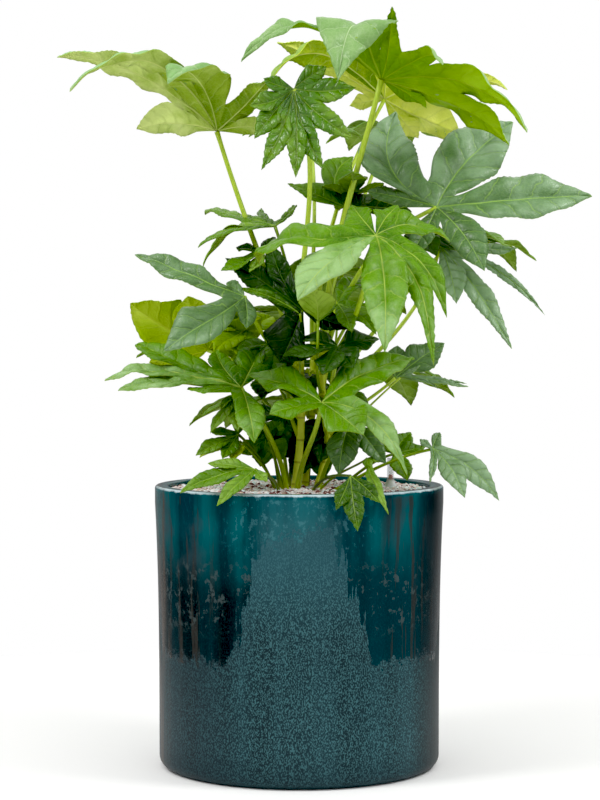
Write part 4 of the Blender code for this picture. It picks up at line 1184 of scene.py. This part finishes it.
# Kinds: deep, middle and pale greens of the upper side and of the underside, the veins of both, the upper
# side's roughness and shine, and how much painted shade lies in the creases beside the side veins, which
# also makes the side veins paler. The deep greens are partly painted shade, the pale upper greens a
# painted sheen, and crown_back's pale underside greens painted light that shines through the leaf
KINDS = {
    "crown_left": (((84, 126, 52), (120, 164, 92), (150, 190, 124)),
        ((104, 140, 6), (150, 178, 52), (208, 224, 136)), (186, 206, 150), (206, 220, 130), 0.36, 0.4, 0.2),
    "crown_right": (((94, 138, 62), (122, 162, 90), (148, 182, 116)),
        ((94, 133, 0), (122, 166, 4), (152, 188, 30)), (198, 222, 170), (156, 186, 50), 0.36, 0.4, 0.16),
    "crown_front": (((26, 72, 0), (70, 118, 2), (120, 156, 44)),
        ((80, 120, 10), (110, 150, 40), (150, 180, 80)), (130, 160, 56), (160, 186, 100), 0.25, 0.5, 0.34),
    # Painted light: crown_back's underside greens are painted pale for the light that shines through the leaf
    "crown_back": (((110, 150, 40), (150, 184, 80), (190, 210, 120)),
        ((124, 164, 10), (210, 226, 56), (236, 242, 120)), (200, 214, 130), (228, 236, 140), 0.4, 0.3,
        0.16),
    "broad": (((54, 88, 30), (87, 122, 70), (132, 163, 122)),
        ((100, 134, 26), (134, 166, 60), (160, 190, 100)), (150, 190, 84), (176, 202, 110), 0.34, 0.42,
        0.32),
    "fresh": (((48, 98, 0), (92, 140, 6), (148, 184, 118)), ((104, 142, 4), (140, 172, 30), (180, 200, 90)),
        (178, 200, 90), (196, 210, 110), 0.34, 0.26, 0.14),
    "deep": (((6, 34, 0), (38, 76, 2), (78, 116, 40)), ((40, 72, 8), (80, 114, 30), (120, 150, 70)),
        (84, 124, 40), (130, 160, 80), 0.34, 0.3, 0.3),
    "lime": (((92, 132, 0), (136, 170, 8), (176, 200, 60)), ((118, 156, 0), (158, 190, 10), (190, 212, 60)),
        (186, 206, 70), (192, 210, 60), 0.38, 0.25, 0.16),
    "inner": (((40, 80, 0), (84, 128, 8), (130, 168, 60)), ((66, 100, 4), (106, 140, 20), (150, 180, 70)),
        (150, 184, 64), (158, 184, 80), 0.34, 0.32, 0.22),
    "back": (((48, 88, 2), (88, 132, 18), (132, 170, 70)), ((76, 110, 6), (112, 146, 26), (150, 180, 76)),
        (150, 182, 76), (160, 186, 86), 0.36, 0.32, 0.22),
}

source_leaves = {row.name for row in LEAVES}
groups = {}
for number, row in enumerate(LEAVES + FINER_LEAVES):
    groups.setdefault(row.kind, []).append((row, blade(row, random.Random(100 + number))))
for kind, members in groups.items():
    upper, under, vein, under_vein, gloss, shine, vein_pallor_and_crease_shade = KINDS[kind]
    skins = [blade_skin(kind + "_upper", upper, vein, gloss, shine, 0.75, vein_pallor_and_crease_shade, 1.0),
             blade_skin(kind + "_under", under, under_vein, 0.55, 0.20, 0.85, 0.10, -1.0)]
    leaves = gather("leaves_" + kind, [shape for _, shape in members], skins, "veins")
    nodes = ["leaf_" + row.name for row, _ in members if row.name in source_leaves]
    finish_piece(leaves, "leaf_green", *nodes)

stem, tree, shader, place = skin("stalk_skin")
tone = put(tree, "ShaderNodeAttribute", attribute_name="tone").outputs["Fac"]
threads = drawn(tree, place, 0.12, 700.0, 2.0)
foot = left_over(tree, step_up(tree, unrolled(tree, "run")["Y"], 0.0, 0.03))
# Painted shade and light: the stalk's green follows its tone, deep in the shade inside the plant, paler
# elsewhere
green = tint(tree, step_up(tree, tone, -0.6, 0.3), linear(52, 78, 8), linear(136, 170, 24))
green = tint(tree, step_up(tree, tone, 0.3, 1.0), green, linear(186, 212, 66))
green = tint(tree, step_up(tree, threads, 0.40, 0.65, 0.4), green, linear(132, 164, 24))
green = tint(tree, product(tree, foot, 0.7), green, linear(206, 220, 70))
coat(tree, shader, green, 0.42, threads, 0.3, 0.0004)

COIL_CENTRE = (0.0085, -0.010, 0.4755)
COIL_STEPS = 60
COIL_STEPS_A_RADIAN = 5.0
COIL_DRIFT = 0.0002
COIL_REACH = (0.0052, 0.0008)
COIL_RADII = (0.0015, 0.0007)
COIL_SIDES = 8
SMALL_LEAF = 0.024


def stalk_tone_and_painted_light(row):
    """A stalk's tone: its leaf's, painted deeper as painted shade for the small ones that stand in the shade
    inside the plant, and painted paler as painted light for the rest.
    """
    shaded = row.fused or row.half_width < SMALL_LEAF and row.stalk.start[0] == "fill"
    return float(np.mean(row.tone)) + (-0.7 if shaded else 0.3)


shapes = [limb(*stalk_run(row), STALK_SIDES, stalk_tone_and_painted_light(row)) for row in LEAVES + FINER_LEAVES]

# The youngest leaf's coiled tip
steps = np.arange(COIL_STEPS)
turns = steps / COIL_STEPS_A_RADIAN
reach = np.linspace(*COIL_REACH, COIL_STEPS)
coil = np.array(COIL_CENTRE) + np.column_stack(
    (COIL_DRIFT * steps, reach * np.cos(turns), reach * np.sin(turns)))
shapes.append(limb(coil, np.linspace(*COIL_RADII, COIL_STEPS), COIL_SIDES, 0.6))
stalks = gather("stalks", shapes, [stem], "run")
finish_piece(stalks, "stalk_green", *("stalk_" + row.name for row in LEAVES if not row.fused))
